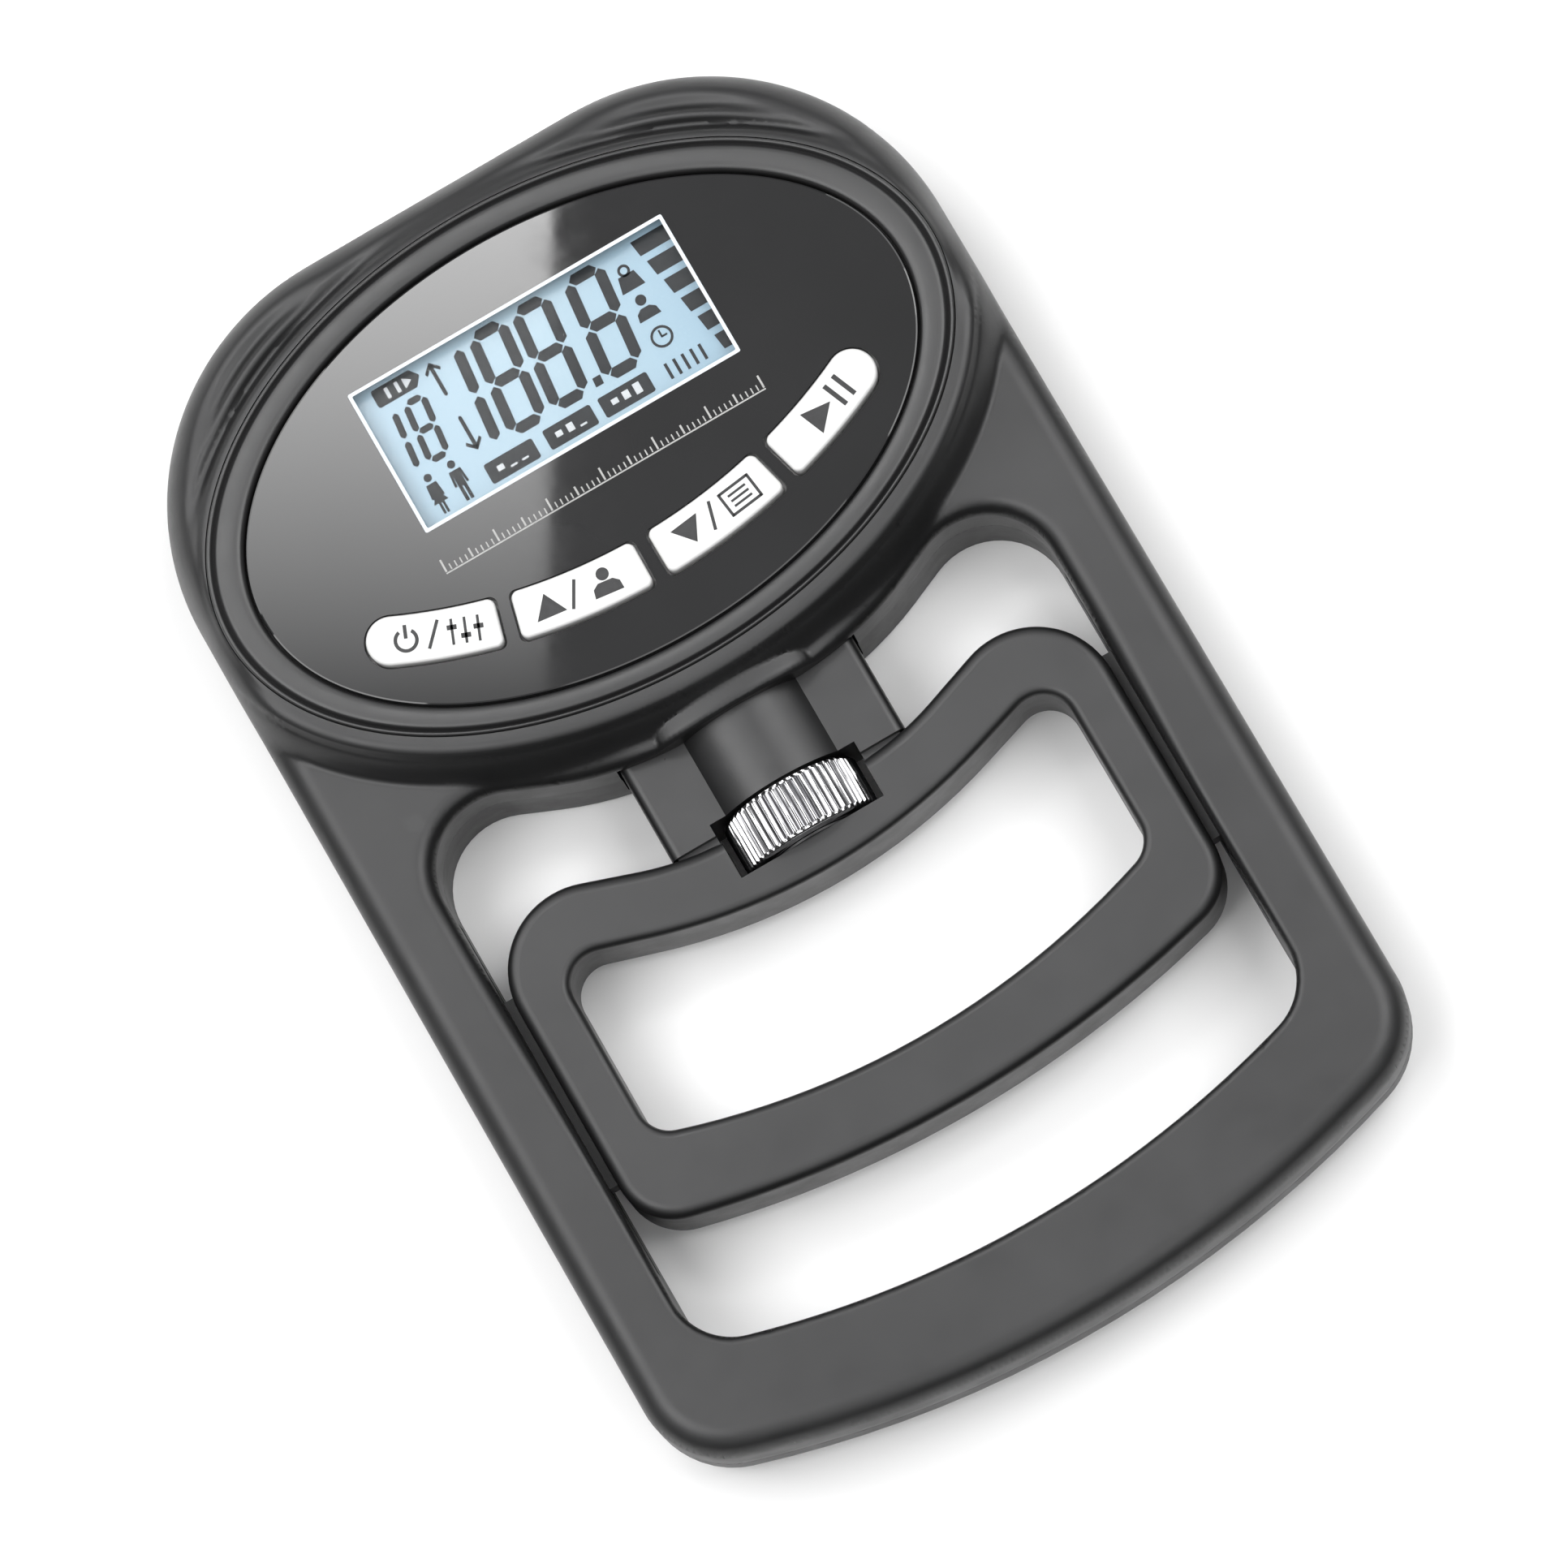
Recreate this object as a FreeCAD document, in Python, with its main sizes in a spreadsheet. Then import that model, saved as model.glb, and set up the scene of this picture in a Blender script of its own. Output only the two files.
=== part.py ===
import FreeCAD, Part
import Sketcher
import math
import os

# Hand dynamometer, millimetres.
# +Z comes out of the display, +Y points from the palm bar to the display head,
# +X is to the right of a reader.  The origin is under the middle of the
# instrument, on the plane its back rests on.

V = FreeCAD.Vector
doc = FreeCAD.newDocument("HandDynamometer")

# ---------------------------------------------------------------- dimensions
sheet = doc.addObject("Spreadsheet::Sheet", "Dims")
TABLE = [
    # outer case
    ("case_half_width", 64.0), ("case_top_y", 99.5), ("case_bottom_y", -99.5),
    ("head_corner_rad", 41.0), ("foot_corner_rad", 14.0), ("foot_arc_rad", 179.6),
    ("case_front_z", 21.0), ("split_z", 11.3), ("case_wall", 2.2),
    ("front_edge_rad", 4.4), ("back_edge_rad", 8.0), ("window_edge_rad", 1.0),
    ("bar_floor_z", 5.0), ("head_floor_z", 2.4), ("bar_ceiling_z", 18.8),
    # palm window in the case
    ("window_half_width", 52.2), ("window_top_y", 6.5), ("window_bottom_y", -82.5),
    ("window_top_rad", 11.2), ("window_foot_rad", 10.0),
    ("window_neck_rad", 57.0), ("window_foot_arc_rad", 159.0),
    ("guide_wall", 5.2),
    # raised display boss, bezel and lens
    ("boss_z", 26.4), ("boss_edge_rad", 2.0),
    ("bezel_y", 53.1), ("bezel_semi_x", 59.3), ("bezel_semi_y", 37.7),
    ("bezel_z", 27.5), ("bezel_seat_z", 23.0),
    ("lens_y", 52.6), ("lens_semi_x", 54.6), ("lens_semi_y", 34.2),
    ("lens_under_z", 24.6), ("lens_z", 26.9), ("lens_gap", 0.3),
    ("throat_semi_x", 56.5), ("throat_semi_y", 35.5),
    ("ledge_semi_x", 50.5), ("ledge_semi_y", 32.6),
    # display module and circuit board
    ("screen_y", 64.2), ("glass_half_x", 28.6), ("glass_half_y", 14.6),
    ("glass_under_z", 21.6), ("glass_z", 24.2), ("holder_z", 22.9), ("holder_half_x", 31.0),
    ("holder_half_y", 16.5), ("board_z", 18.4), ("board_top_z", 20.0),
    ("board_semi_x", 53.5), ("board_semi_y", 32.5), ("board_low_y", 29.2),
    # keys
    ("key_arc_y", 123.2), ("key_rad_in", 88.0), ("key_rad_out", 96.0),
    ("key_z", 28.0), ("key_under_z", 24.4), ("key_flange_z", 23.4),
    ("key_post_z", 22.2), ("key_gap", 0.25), ("key_corner_rad", 1.2),
    ("key_inner_start", 0.69), ("key_inner_end", 13.75),
    ("key_outer_start", 15.1), ("key_outer_end", 28.0),
    # stem and its hood
    ("stem_half_width", 20.0), ("stem_back_z", 4.5), ("stem_front_z", 17.5),
    ("stem_top_y", 25.0), ("stem_low_y", -8.1), ("stem_seat_y", -6.2),
    ("stem_edge_rad", 1.7), ("stem_bore_rad", 5.9), ("stem_bore_low_y", -4.0),
    ("arch_rad", 13.6), ("arch_centre_z", 7.9), ("arch_top_y", 18.5),
    ("slide_gap", 0.35), ("hood_rad", 22.0), ("hood_centre_z", 1.5),
    ("axis_z", 11.3), ("leg_inner_x", 12.4), ("leg_outer_x", 19.0),
    ("leg_low_y", -14.0), ("leg_back_z", 6.5), ("leg_front_z", 16.1),
    # inner grip
    ("grip_half_width", 50.8), ("grip_back_z", 4.3), ("grip_front_z", 18.3),
    ("grip_wall", 2.0), ("grip_edge_rad", 2.0), ("grip_window_edge_rad", 1.4),
    ("tongue_reach_x", 54.4), ("tongue_top_y", -13.0), ("tongue_low_y", -45.5),
    ("tongue_half_z", 2.0), ("groove_x", 55.2), ("groove_top_y", 1.0),
    ("groove_low_y", -60.0), ("groove_half_z", 2.3),
    ("notch_half_width", 12.2), ("notch_low_y", -15.8),
    # knob, lead screw and load line
    ("knob_rad", 11.2), ("knob_top_y", -6.55), ("knob_low_y", -15.45),
    ("knob_groove_count", 40), ("knob_groove_rad", 0.42),
    ("screw_rad", 4.0), ("screw_low_y", -15.4), ("screw_top_y", 28.0),
    ("washer_rad", 8.0), ("washer_thick", 0.3),
    ("nut_rad", 5.4), ("nut_bore_rad", 4.06), ("nut_low_y", 8.0),
    ("nut_top_y", 16.0), ("tube_bore_rad", 4.45), ("tube_top_y", 42.0),
    # load cell
    ("cell_half_x", 26.0), ("cell_low_y", 38.0), ("cell_top_y", 60.0),
    ("cell_back_z", 5.5), ("cell_front_z", 17.0), ("cell_slot_half_x", 8.0),
    ("cell_slot_low_y", 41.0), ("cell_slot_top_y", 57.5),
    ("tongue_block_half_x", 7.2), ("tongue_block_top_y", 52.0),
    # batteries and their door
    ("cell_rad", 5.2), ("cell_length", 44.5), ("battery_low_y", 70.0),
    ("battery_pitch", 11.4), ("battery_z", 7.6), ("tray_half_x", 29.4),
    ("tray_low_y", 62.3), ("tray_top_y", 90.3), ("tray_z", 14.6),
    ("well_half_x", 25.4), ("well_low_y", 64.2), ("well_top_y", 87.2),
    ("well_z", 13.3), ("door_half_x", 27.4), ("door_low_y", 63.1),
    ("door_top_y", 88.6), ("door_thick", 1.6), ("door_gap", 0.3),
    # fasteners
    ("case_screw_rad", 1.5), ("case_screw_head_rad", 2.8), ("boss_rad", 3.3),
]
for row, (alias, value) in enumerate(TABLE, start=1):
    sheet.set("A%d" % row, alias.replace("_", " "))
    sheet.set("B%d" % row, repr(float(value)))
    sheet.setAlias("B%d" % row, alias)
doc.recompute()


def d(alias):
    # value of one driving dimension, read back from the sheet
    return float(sheet.get(alias))


def ref(alias):
    return "Dims." + alias


# ------------------------------------------------------------------ outlines
# An outline is a closed run of tangent arcs: (x, y, radius, sense), sense +1
# where the run goes anticlockwise round the arc's centre and -1 where it goes
# clockwise.  Neighbouring arcs are joined by their common tangent.
def run_segments(circles):
    n = len(circles)
    leave, arrive = [None] * n, [None] * n
    for i in range(n):
        x1, y1, r1, s1 = circles[i]
        x2, y2, r2, s2 = circles[(i + 1) % n]
        dx, dy = x2 - x1, y2 - y1
        dist = math.hypot(dx, dy)
        k = s2 * r2 - s1 * r1
        ratio = max(-1.0, min(1.0, k / dist))
        if abs(k) > dist + 0.2:
            raise ValueError("arcs %d and %d do not meet" % (i, (i + 1) % n))
        a = -math.asin(ratio)
        ex, ey = dx / dist, dy / dist
        ux, uy = ex * math.cos(a) - ey * math.sin(a), ex * math.sin(a) + ey * math.cos(a)
        nx, ny = -uy, ux
        p1 = (x1 - s1 * r1 * nx, y1 - s1 * r1 * ny)
        p2 = (x2 - s2 * r2 * nx, y2 - s2 * r2 * ny)
        if math.hypot(p2[0] - p1[0], p2[1] - p1[1]) < 0.02 or abs(k) >= dist:
            p1 = p2 = ((p1[0] + p2[0]) / 2, (p1[1] + p2[1]) / 2)
        leave[i], arrive[(i + 1) % n] = p1, p2
    segs = []
    for i in range(n):
        x, y, r, s = circles[i]
        a, b = arrive[i], leave[i]
        if r > 1e-9 and math.hypot(a[0] - b[0], a[1] - b[1]) > 1e-6:
            ta = math.atan2(a[1] - y, a[0] - x)
            tb = math.atan2(b[1] - y, b[0] - x)
            if s > 0:
                while tb <= ta:
                    tb += 2 * math.pi
            else:
                while tb >= ta:
                    tb -= 2 * math.pi
            tm = (ta + tb) / 2
            segs.append(("arc", a, (x + r * math.cos(tm), y + r * math.sin(tm)), b))
        c = arrive[(i + 1) % n]
        if math.hypot(c[0] - b[0], c[1] - b[1]) > 1e-6:
            segs.append(("line", b, c))
    return segs


def offset_run(circles, grow):
    # positive grow moves an anticlockwise outline outward
    return [(x, y, r + s * grow, s) for x, y, r, s in circles]


def box_run(x0, y0, x1, y1, r=0.0):
    return [(x1 - r, y0 + r, r, 1), (x1 - r, y1 - r, r, 1),
            (x0 + r, y1 - r, r, 1), (x0 + r, y0 + r, r, 1)]


def run_curves(circles):
    out = []
    for seg in run_segments(circles):
        pts = [V(p[0], p[1], 0) for p in seg[1:]]
        out.append(Part.Arc(*pts) if seg[0] == "arc" else Part.LineSegment(*pts))
    return out


def run_wire(circles, z):
    wire = Part.Wire([c.toShape() for c in run_curves(circles)])
    wire.translate(V(0, 0, z))
    return wire


def inner_corner(side_x, big_x, big_y, big_r, r):
    # centre of a corner arc that touches a vertical side and a large foot arc
    x = side_x - r
    return x, big_y - math.sqrt((big_r - r) ** 2 - (x - big_x) ** 2)


def mirror_run(right_half_first):
    return right_half_first + [(-x, y, r, s) for x, y, r, s in reversed(right_half_first)]


case_foot_cy = d("case_bottom_y") + d("foot_arc_rad")
fx, fy = inner_corner(d("case_half_width"), 0, case_foot_cy, d("foot_arc_rad"), d("foot_corner_rad"))
hx, hy = d("case_half_width") - d("head_corner_rad"), d("case_top_y") - d("head_corner_rad")
CASE = [(hx, hy, d("head_corner_rad"), 1), (-hx, hy, d("head_corner_rad"), 1),
        (-fx, fy, d("foot_corner_rad"), 1), (0, case_foot_cy, d("foot_arc_rad"), 1),
        (fx, fy, d("foot_corner_rad"), 1)]

w_foot_cy = d("window_bottom_y") + d("window_foot_arc_rad")
wx, wy = inner_corner(d("window_half_width"), 0, w_foot_cy, d("window_foot_arc_rad"), d("window_foot_rad"))
wtx = d("window_half_width") - d("window_top_rad")
wn = d("window_top_y") + d("window_neck_rad")
WINDOW = [(wtx, 3.5, d("window_top_rad"), 1), (8.0, wn, d("window_neck_rad"), -1),
          (-8.0, wn, d("window_neck_rad"), -1), (-wtx, 3.5, d("window_top_rad"), 1),
          (-wx, wy, d("window_foot_rad"), 1), (0, w_foot_cy, d("window_foot_arc_rad"), 1),
          (wx, wy, d("window_foot_rad"), 1)]
# the hollow of the ring stays clear of the window by a thicker wall at the
# sides, where the guide grooves are cut
gx = d("window_half_width") + d("guide_wall")
CORE = [(gx - 12.0, 4.8, 12.0, 1), (8.0, wn, d("window_neck_rad") - 2.4, -1),
        (-8.0, wn, d("window_neck_rad") - 2.4, -1), (-gx + 12.0, 4.8, 12.0, 1),
        (-gx + 11.0, -64.6, 11.0, 1), (0, w_foot_cy, d("window_foot_arc_rad") + 2.4, 1),
        (gx - 11.0, -64.6, 11.0, 1)]
ck = d("window_foot_arc_rad") + 2.4 - 11.0
cy = w_foot_cy - math.sqrt(ck ** 2 - (gx - 11.0) ** 2)
CORE[4] = (-gx + 11.0, cy, 11.0, 1)
CORE[6] = (gx - 11.0, cy, 11.0, 1)

bx = 38.2
BOSS = [(hx, hy, d("head_corner_rad") - 1.8, 1), (-hx, hy, d("head_corner_rad") - 1.8, 1),
        (-bx, 45.3, 24.0, 1), (0, 107.5, 97.0, 1), (bx, 45.3, 24.0, 1)]

g_foot = (0, 113.0, 174.5, 1)
ggx, ggy = inner_corner(d("grip_half_width"), 0, 113.0, 174.5, 9.5)
GRIP = [(d("grip_half_width") - 13.0, -16.0, 13.0, 1), (10.0, 35.7, 45.0, -1),
        (-10.0, 35.7, 45.0, -1), (-d("grip_half_width") + 13.0, -16.0, 13.0, 1),
        (-ggx, ggy, 9.5, 1), g_foot, (ggx, ggy, 9.5, 1)]
fwx, fwy = inner_corner(42.6, 0, 75.2, 125.0, 5.0)
FINGER = [(37.6, -18.8, 5.0, 1), (0, 71.0, 92.0, -1), (-37.6, -18.8, 5.0, 1),
          (-fwx, fwy, 5.0, 1), (0, 75.2, 125.0, 1), (fwx, fwy, 5.0, 1)]


def key_run(start_deg, end_deg, side, inset, round_end):
    # ring sector below the arc centre; angles are from straight down, positive to +X
    ky, ra, rb = d("key_arc_y"), d("key_rad_in") + inset, d("key_rad_out") - inset
    rc = d("key_corner_rad")

    def corner(rho, edge_deg, inward, r):
        shift = math.asin((r + inset) / rho) * inward
        t = math.radians(edge_deg) + shift
        return (rho * math.sin(t), ky - rho * math.cos(t), r, 1)
    run = [(0, ky, rb, 1)]
    if round_end:
        half = (rb - ra) / 2.0
        run.append(corner((ra + rb) / 2.0, end_deg, -1, half - 1e-4))
    else:
        run += [corner(rb - rc, end_deg, -1, rc), corner(ra + rc, end_deg, -1, rc)]
    run.append((0, ky, ra, -1))
    run += [corner(ra + rc, start_deg, 1, rc), corner(rb - rc, start_deg, 1, rc)]
    if side < 0:
        run = [(-x, y, r, s) for x, y, r, s in reversed(run)]
    return run


# ------------------------------------------------------------ building blocks
nodes = []


def keep(obj, label):
    obj.Label = label
    nodes.append(obj)
    return obj


def new_body(name):
    return doc.addObject("PartDesign::Body", name)


def plane_of(body, role):
    for feature in body.Origin.OriginFeatures:
        if feature.Role == role:
            return feature
    raise ValueError(role)


def new_sketch(body, name, z_expr=None, role="XY_Plane"):
    sk = body.newObject("Sketcher::SketchObject", name)
    sk.AttachmentSupport = (plane_of(body, role), "")
    sk.MapMode = "FlatFace"
    if z_expr is not None:
        sk.setExpression("AttachmentOffset.Base.z", z_expr)
    return sk


def draw(sk, *runs):
    for circles in runs:
        for curve in run_curves(circles):
            sk.addGeometry(curve, False)
    return sk


def draw_ellipse(sk, y, semi_x, semi_y):
    sk.addGeometry(Part.Ellipse(V(0, y, 0), semi_x, semi_y), False)


def draw_circle(sk, x, y, rad_expr):
    i = sk.addGeometry(Part.Circle(V(x, y, 0), V(0, 0, 1), 1.0), False)
    c = sk.addConstraint(Sketcher.Constraint("Radius", i, 1.0))
    sk.setExpression("Constraints[%d]" % c, rad_expr)
    cx = sk.addConstraint(Sketcher.Constraint("DistanceX", -1, 1, i, 3, x)) if abs(x) > 1e-9 else None
    cyy = sk.addConstraint(Sketcher.Constraint("DistanceY", -1, 1, i, 3, y)) if abs(y) > 1e-9 else None
    if cx is None:
        sk.addConstraint(Sketcher.Constraint("PointOnObject", i, 3, -2))
    if cyy is None:
        sk.addConstraint(Sketcher.Constraint("PointOnObject", i, 3, -1))


def draw_rect(sk, x0, y0, x1, y1):
    # a rectangle whose four sides are held by driving dimensions in the sheet
    vals = []
    for e in (x0, y0, x1, y1):
        vals.append(float(eval_dim(e)))
    a, b, c, e = vals
    pts = [V(a, b, 0), V(c, b, 0), V(c, e, 0), V(a, e, 0)]
    first = sk.GeometryCount
    for i in range(4):
        sk.addGeometry(Part.LineSegment(pts[i], pts[(i + 1) % 4]), False)
    for i in range(4):
        sk.addConstraint(Sketcher.Constraint("Coincident", first + i, 2, first + (i + 1) % 4, 1))
    for i in (0, 2):
        sk.addConstraint(Sketcher.Constraint("Horizontal", first + i))
    for i in (1, 3):
        sk.addConstraint(Sketcher.Constraint("Vertical", first + i))
    for kind, geo, pos, val, expr in (("DistanceX", first, 1, a, x0), ("DistanceY", first, 1, b, y0),
                                      ("DistanceX", first + 2, 1, c, x1), ("DistanceY", first + 2, 1, e, y1)):
        n = sk.addConstraint(Sketcher.Constraint(kind, -1, 1, geo, pos, val))
        if isinstance(expr, str):
            sk.setExpression("Constraints[%d]" % n, expr)


def eval_dim(expr):
    # a plain number, or a sum of signed sheet references such as "-Dims.a + Dims.b"
    if not isinstance(expr, str):
        return expr
    total, sign = 0.0, 1.0
    for word in expr.replace("-", " - ").replace("+", " + ").split():
        if word == "-":
            sign = -1.0
        elif word == "+":
            sign = 1.0
        else:
            total += sign * (d(word[5:]) if word.startswith("Dims.") else float(word))
            sign = 1.0
    return total


def pad(body, sk, length_expr, name, down=False):
    f = body.newObject("PartDesign::Pad", name)
    f.Profile = sk
    f.Length = 1.0
    f.setExpression("Length", length_expr)
    f.Reversed = down
    f.Refine = False
    sk.Visibility = False
    doc.recompute()
    return f


def pocket(body, sk, length_expr, name, up=False):
    before = body.Shape.Volume
    f = body.newObject("PartDesign::Pocket", name)
    f.Profile = sk
    f.Length = 1.0
    f.setExpression("Length", length_expr)
    f.Reversed = up
    f.Refine = False
    doc.recompute()
    if not body.Shape.Volume < before - 1e-6:
        raise RuntimeError("pocket %s removed nothing" % name)
    return f


def edges_along(shape, wire):
    names = []
    for i, e in enumerate(shape.Edges, start=1):
        a, b = e.FirstParameter, e.LastParameter
        pts = [e.valueAt(a + (b - a) * t) for t in (0.02, 0.5, 0.98)]
        if all(Part.Vertex(p).distToShape(wire)[0] < 0.03 for p in pts):
            names.append("Edge%d" % i)
    return names


def fillet(body, base, wires, rad_expr, name):
    names = []
    for wire in wires:
        names += edges_along(body.Shape, wire)
    if not names:
        raise RuntimeError("no edges for %s" % name)
    f = body.newObject("PartDesign::Fillet", name)
    f.Base = (base, names)
    f.Radius = 0.5
    f.setExpression("Radius", rad_expr)
    doc.recompute()
    if "Invalid" in f.State or "Error" in f.State or f.Shape.isNull():
        raise RuntimeError("fillet %s failed" % name)
    return f


def box(name, x, y, z, size_x, size_y, size_z):
    b = doc.addObject("Part::Box", name)
    for prop, expr in (("Length", size_x), ("Width", size_y), ("Height", size_z),
                       ("Placement.Base.x", x), ("Placement.Base.y", y), ("Placement.Base.z", z)):
        b.setExpression(prop, expr if isinstance(expr, str) else repr(float(expr)))
    return b


def rod(name, x, y, z, rad, length, axis="Z"):
    c = doc.addObject("Part::Cylinder", name)
    c.Placement = FreeCAD.Placement(V(0, 0, 0), {"Z": FreeCAD.Rotation(),
                                                 "Y": FreeCAD.Rotation(V(1, 0, 0), -90),
                                                 "X": FreeCAD.Rotation(V(0, 1, 0), 90)}[axis])
    for prop, expr in (("Radius", rad), ("Height", length),
                       ("Placement.Base.x", x), ("Placement.Base.y", y), ("Placement.Base.z", z)):
        c.setExpression(prop, expr if isinstance(expr, str) else repr(float(expr)))
    return c


def fuse(name, parts):
    f = doc.addObject("Part::MultiFuse", name)
    f.Shapes = parts
    return f


def cut(name, base, tool):
    c = doc.addObject("Part::Cut", name)
    c.Base, c.Tool = base, tool
    return c


def gather(name, parts):
    c = doc.addObject("Part::Compound", name)
    c.Links = parts
    return c


# ---------------------------------------------------------------- front case
CASE_SCREWS = [(50.8, -79.0), (-50.8, -79.0), (50.5, 26.0), (-50.5, 26.0), (34.5, 84.5), (-34.5, 84.5)]
PCB_SCREWS = [(49.5, 53.1), (-49.5, 53.1), (34.0, 75.5), (-34.0, 75.5)]
CELL_SCREWS = [(22.0, 42.0), (-22.0, 42.0), (22.0, 56.0), (-22.0, 56.0)]

front = new_body("FrontCase")
sk = draw(new_sketch(front, "FrontOutline", ref("split_z")), CASE, WINDOW)
f = pad(front, sk, ref("case_front_z") + " - " + ref("split_z"), "FrontPlate")
f = fillet(front, f, [run_wire(CASE, d("case_front_z"))], ref("front_edge_rad"), "FrontEdge")
f = fillet(front, f, [run_wire(WINDOW, d("case_front_z"))], ref("window_edge_rad"), "FrontWindowEdge")
sk = draw(new_sketch(front, "BossOutline", "15"), BOSS)
f = pad(front, sk, ref("boss_z") + " - 15", "DisplayBoss")
f = fillet(front, f, [run_wire(BOSS, d("boss_z"))], ref("boss_edge_rad"), "BossEdge")
# hood over the arched front of the stem
sk = new_sketch(front, "HoodProfile", "-" + ref("window_top_y"), "XZ_Plane")
hr, hz = d("hood_rad"), d("hood_centre_z")
hw = math.sqrt(hr ** 2 - (20.0 - hz) ** 2)
sk.addGeometry(Part.Arc(V(-hw, 20.0, 0), V(0, hz + hr, 0), V(hw, 20.0, 0)), False)
sk.addGeometry(Part.LineSegment(V(hw, 20.0, 0), V(-hw, 20.0, 0)), False)
f = pad(front, sk, "12", "StemHood", down=True)
# hollow of the ring and of the head
sk = draw(new_sketch(front, "FrontCore", ref("split_z")), offset_run(CASE, -d("case_wall")), CORE)
f = pocket(front, sk, ref("bar_ceiling_z") + " - " + ref("split_z"), "FrontHollow", up=True)
# screw bosses
sk = new_sketch(front, "FrontBossCircles", ref("split_z"))
for x, y in CASE_SCREWS:
    draw_circle(sk, x, y, ref("boss_rad"))
f = pad(front, sk, "8", "FrontBosses")
sk = new_sketch(front, "FrontBossHoles", ref("split_z"))
for x, y in CASE_SCREWS:
    draw_circle(sk, x, y, ref("case_screw_rad"))
f = pocket(front, sk, "6.2", "FrontScrewHoles", up=True)
# throat under the display and the seat of the bezel
sk = new_sketch(front, "ThroatEllipse", ref("bezel_seat_z"))
draw_ellipse(sk, d("bezel_y"), d("throat_semi_x"), d("throat_semi_y"))
f = pocket(front, sk, "6", "DisplayThroat")
sk = new_sketch(front, "SeatEllipse", ref("boss_z"))
draw_ellipse(sk, d("bezel_y"), d("bezel_semi_x") + 0.1, d("bezel_semi_y") + 0.1)
f = pocket(front, sk, ref("boss_z") + " - " + ref("bezel_seat_z"), "BezelSeat")
# passage of the stem: flat channel and arched channel
sk = new_sketch(front, "StemChannel", ref("split_z"))
draw_rect(sk, "-Dims.stem_half_width - Dims.slide_gap", 2.0, "Dims.stem_half_width + Dims.slide_gap", 14.0)
f = pocket(front, sk, ref("stem_front_z") + " + " + ref("slide_gap") + " - " + ref("split_z"), "StemPassage", up=True)
sk = new_sketch(front, "ArchChannel", "-2", "XZ_Plane")
draw_circle(sk, 0.0, d("arch_centre_z"), ref("arch_rad") + " + " + ref("slide_gap"))
f = pocket(front, sk, "18", "ArchPassage", up=False)
# guide grooves for the tongues of the grip
for side, tag in ((1, "Right"), (-1, "Left")):
    sk = new_sketch(front, "FrontGroove" + tag, ref("split_z"))
    if side > 0:
        draw_rect(sk, 50.0, "Dims.groove_low_y", "Dims.groove_x", "Dims.groove_top_y")
    else:
        draw_rect(sk, "-Dims.groove_x", "Dims.groove_low_y", -50.0, "Dims.groove_top_y")
    f = pocket(front, sk, ref("groove_half_z"), "FrontGuide" + tag, up=True)
keep(front, "front_case")

# ----------------------------------------------------------------- rear case
rear = new_body("RearCase")
sk = draw(new_sketch(rear, "RearOutline"), CASE, WINDOW)
f = pad(rear, sk, ref("split_z"), "RearPlate")
f = fillet(rear, f, [run_wire(CASE, 0.0)], ref("back_edge_rad"), "PalmEdge")
f = fillet(rear, f, [run_wire(WINDOW, 0.0)], ref("window_edge_rad"), "RearWindowEdge")
sk = draw(new_sketch(rear, "RearCore", ref("bar_floor_z")), offset_run(CASE, -d("case_wall")), CORE)
f = pocket(rear, sk, ref("split_z") + " - " + ref("bar_floor_z"), "RearHollow", up=True)
DEEP = [(hx, hy, d("head_corner_rad") - 8.5, 1), (-hx, hy, d("head_corner_rad") - 8.5, 1),
        (-51.5, 23.0, 3.5, 1), (51.5, 23.0, 3.5, 1)]
sk = draw(new_sketch(rear, "HeadFloor", ref("head_floor_z")), DEEP)
f = pocket(rear, sk, ref("split_z") + " - " + ref("head_floor_z"), "HeadHollow", up=True)
sk = new_sketch(rear, "RearStemChannel", ref("stem_back_z") + " - " + ref("slide_gap"))
draw_rect(sk, "-Dims.stem_half_width - Dims.slide_gap", 2.0, "Dims.stem_half_width + Dims.slide_gap", 26.0)
f = pocket(rear, sk, "12", "RearStemPassage", up=True)
sk = new_sketch(rear, "RearBossCircles", "2")
for x, y in CASE_SCREWS:
    draw_circle(sk, x, y, ref("boss_rad") + " + 0.6")
f = pad(rear, sk, ref("split_z") + " - 2", "RearBosses")
sk = new_sketch(rear, "CellBossCircles", "2")
for x, y in CELL_SCREWS:
    draw_circle(sk, x, y, ref("boss_rad"))
f = pad(rear, sk, ref("cell_back_z") + " - 2", "CellBosses")
sk = new_sketch(rear, "CellBossHoles", ref("cell_back_z"))
for x, y in CELL_SCREWS:
    draw_circle(sk, x, y, "1.25")
f = pocket(rear, sk, "3.2", "CellScrewHoles")
sk = new_sketch(rear, "RearScrewHoles")
for x, y in CASE_SCREWS:
    draw_circle(sk, x, y, ref("case_screw_rad") + " + 0.1")
f = pocket(rear, sk, "12", "RearScrewPassages", up=True)
sk = new_sketch(rear, "RearCounterbores")
for x, y in CASE_SCREWS:
    draw_circle(sk, x, y, ref("case_screw_head_rad") + " + 0.3")
f = pocket(rear, sk, "3", "ScrewHeadWells", up=True)
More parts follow.
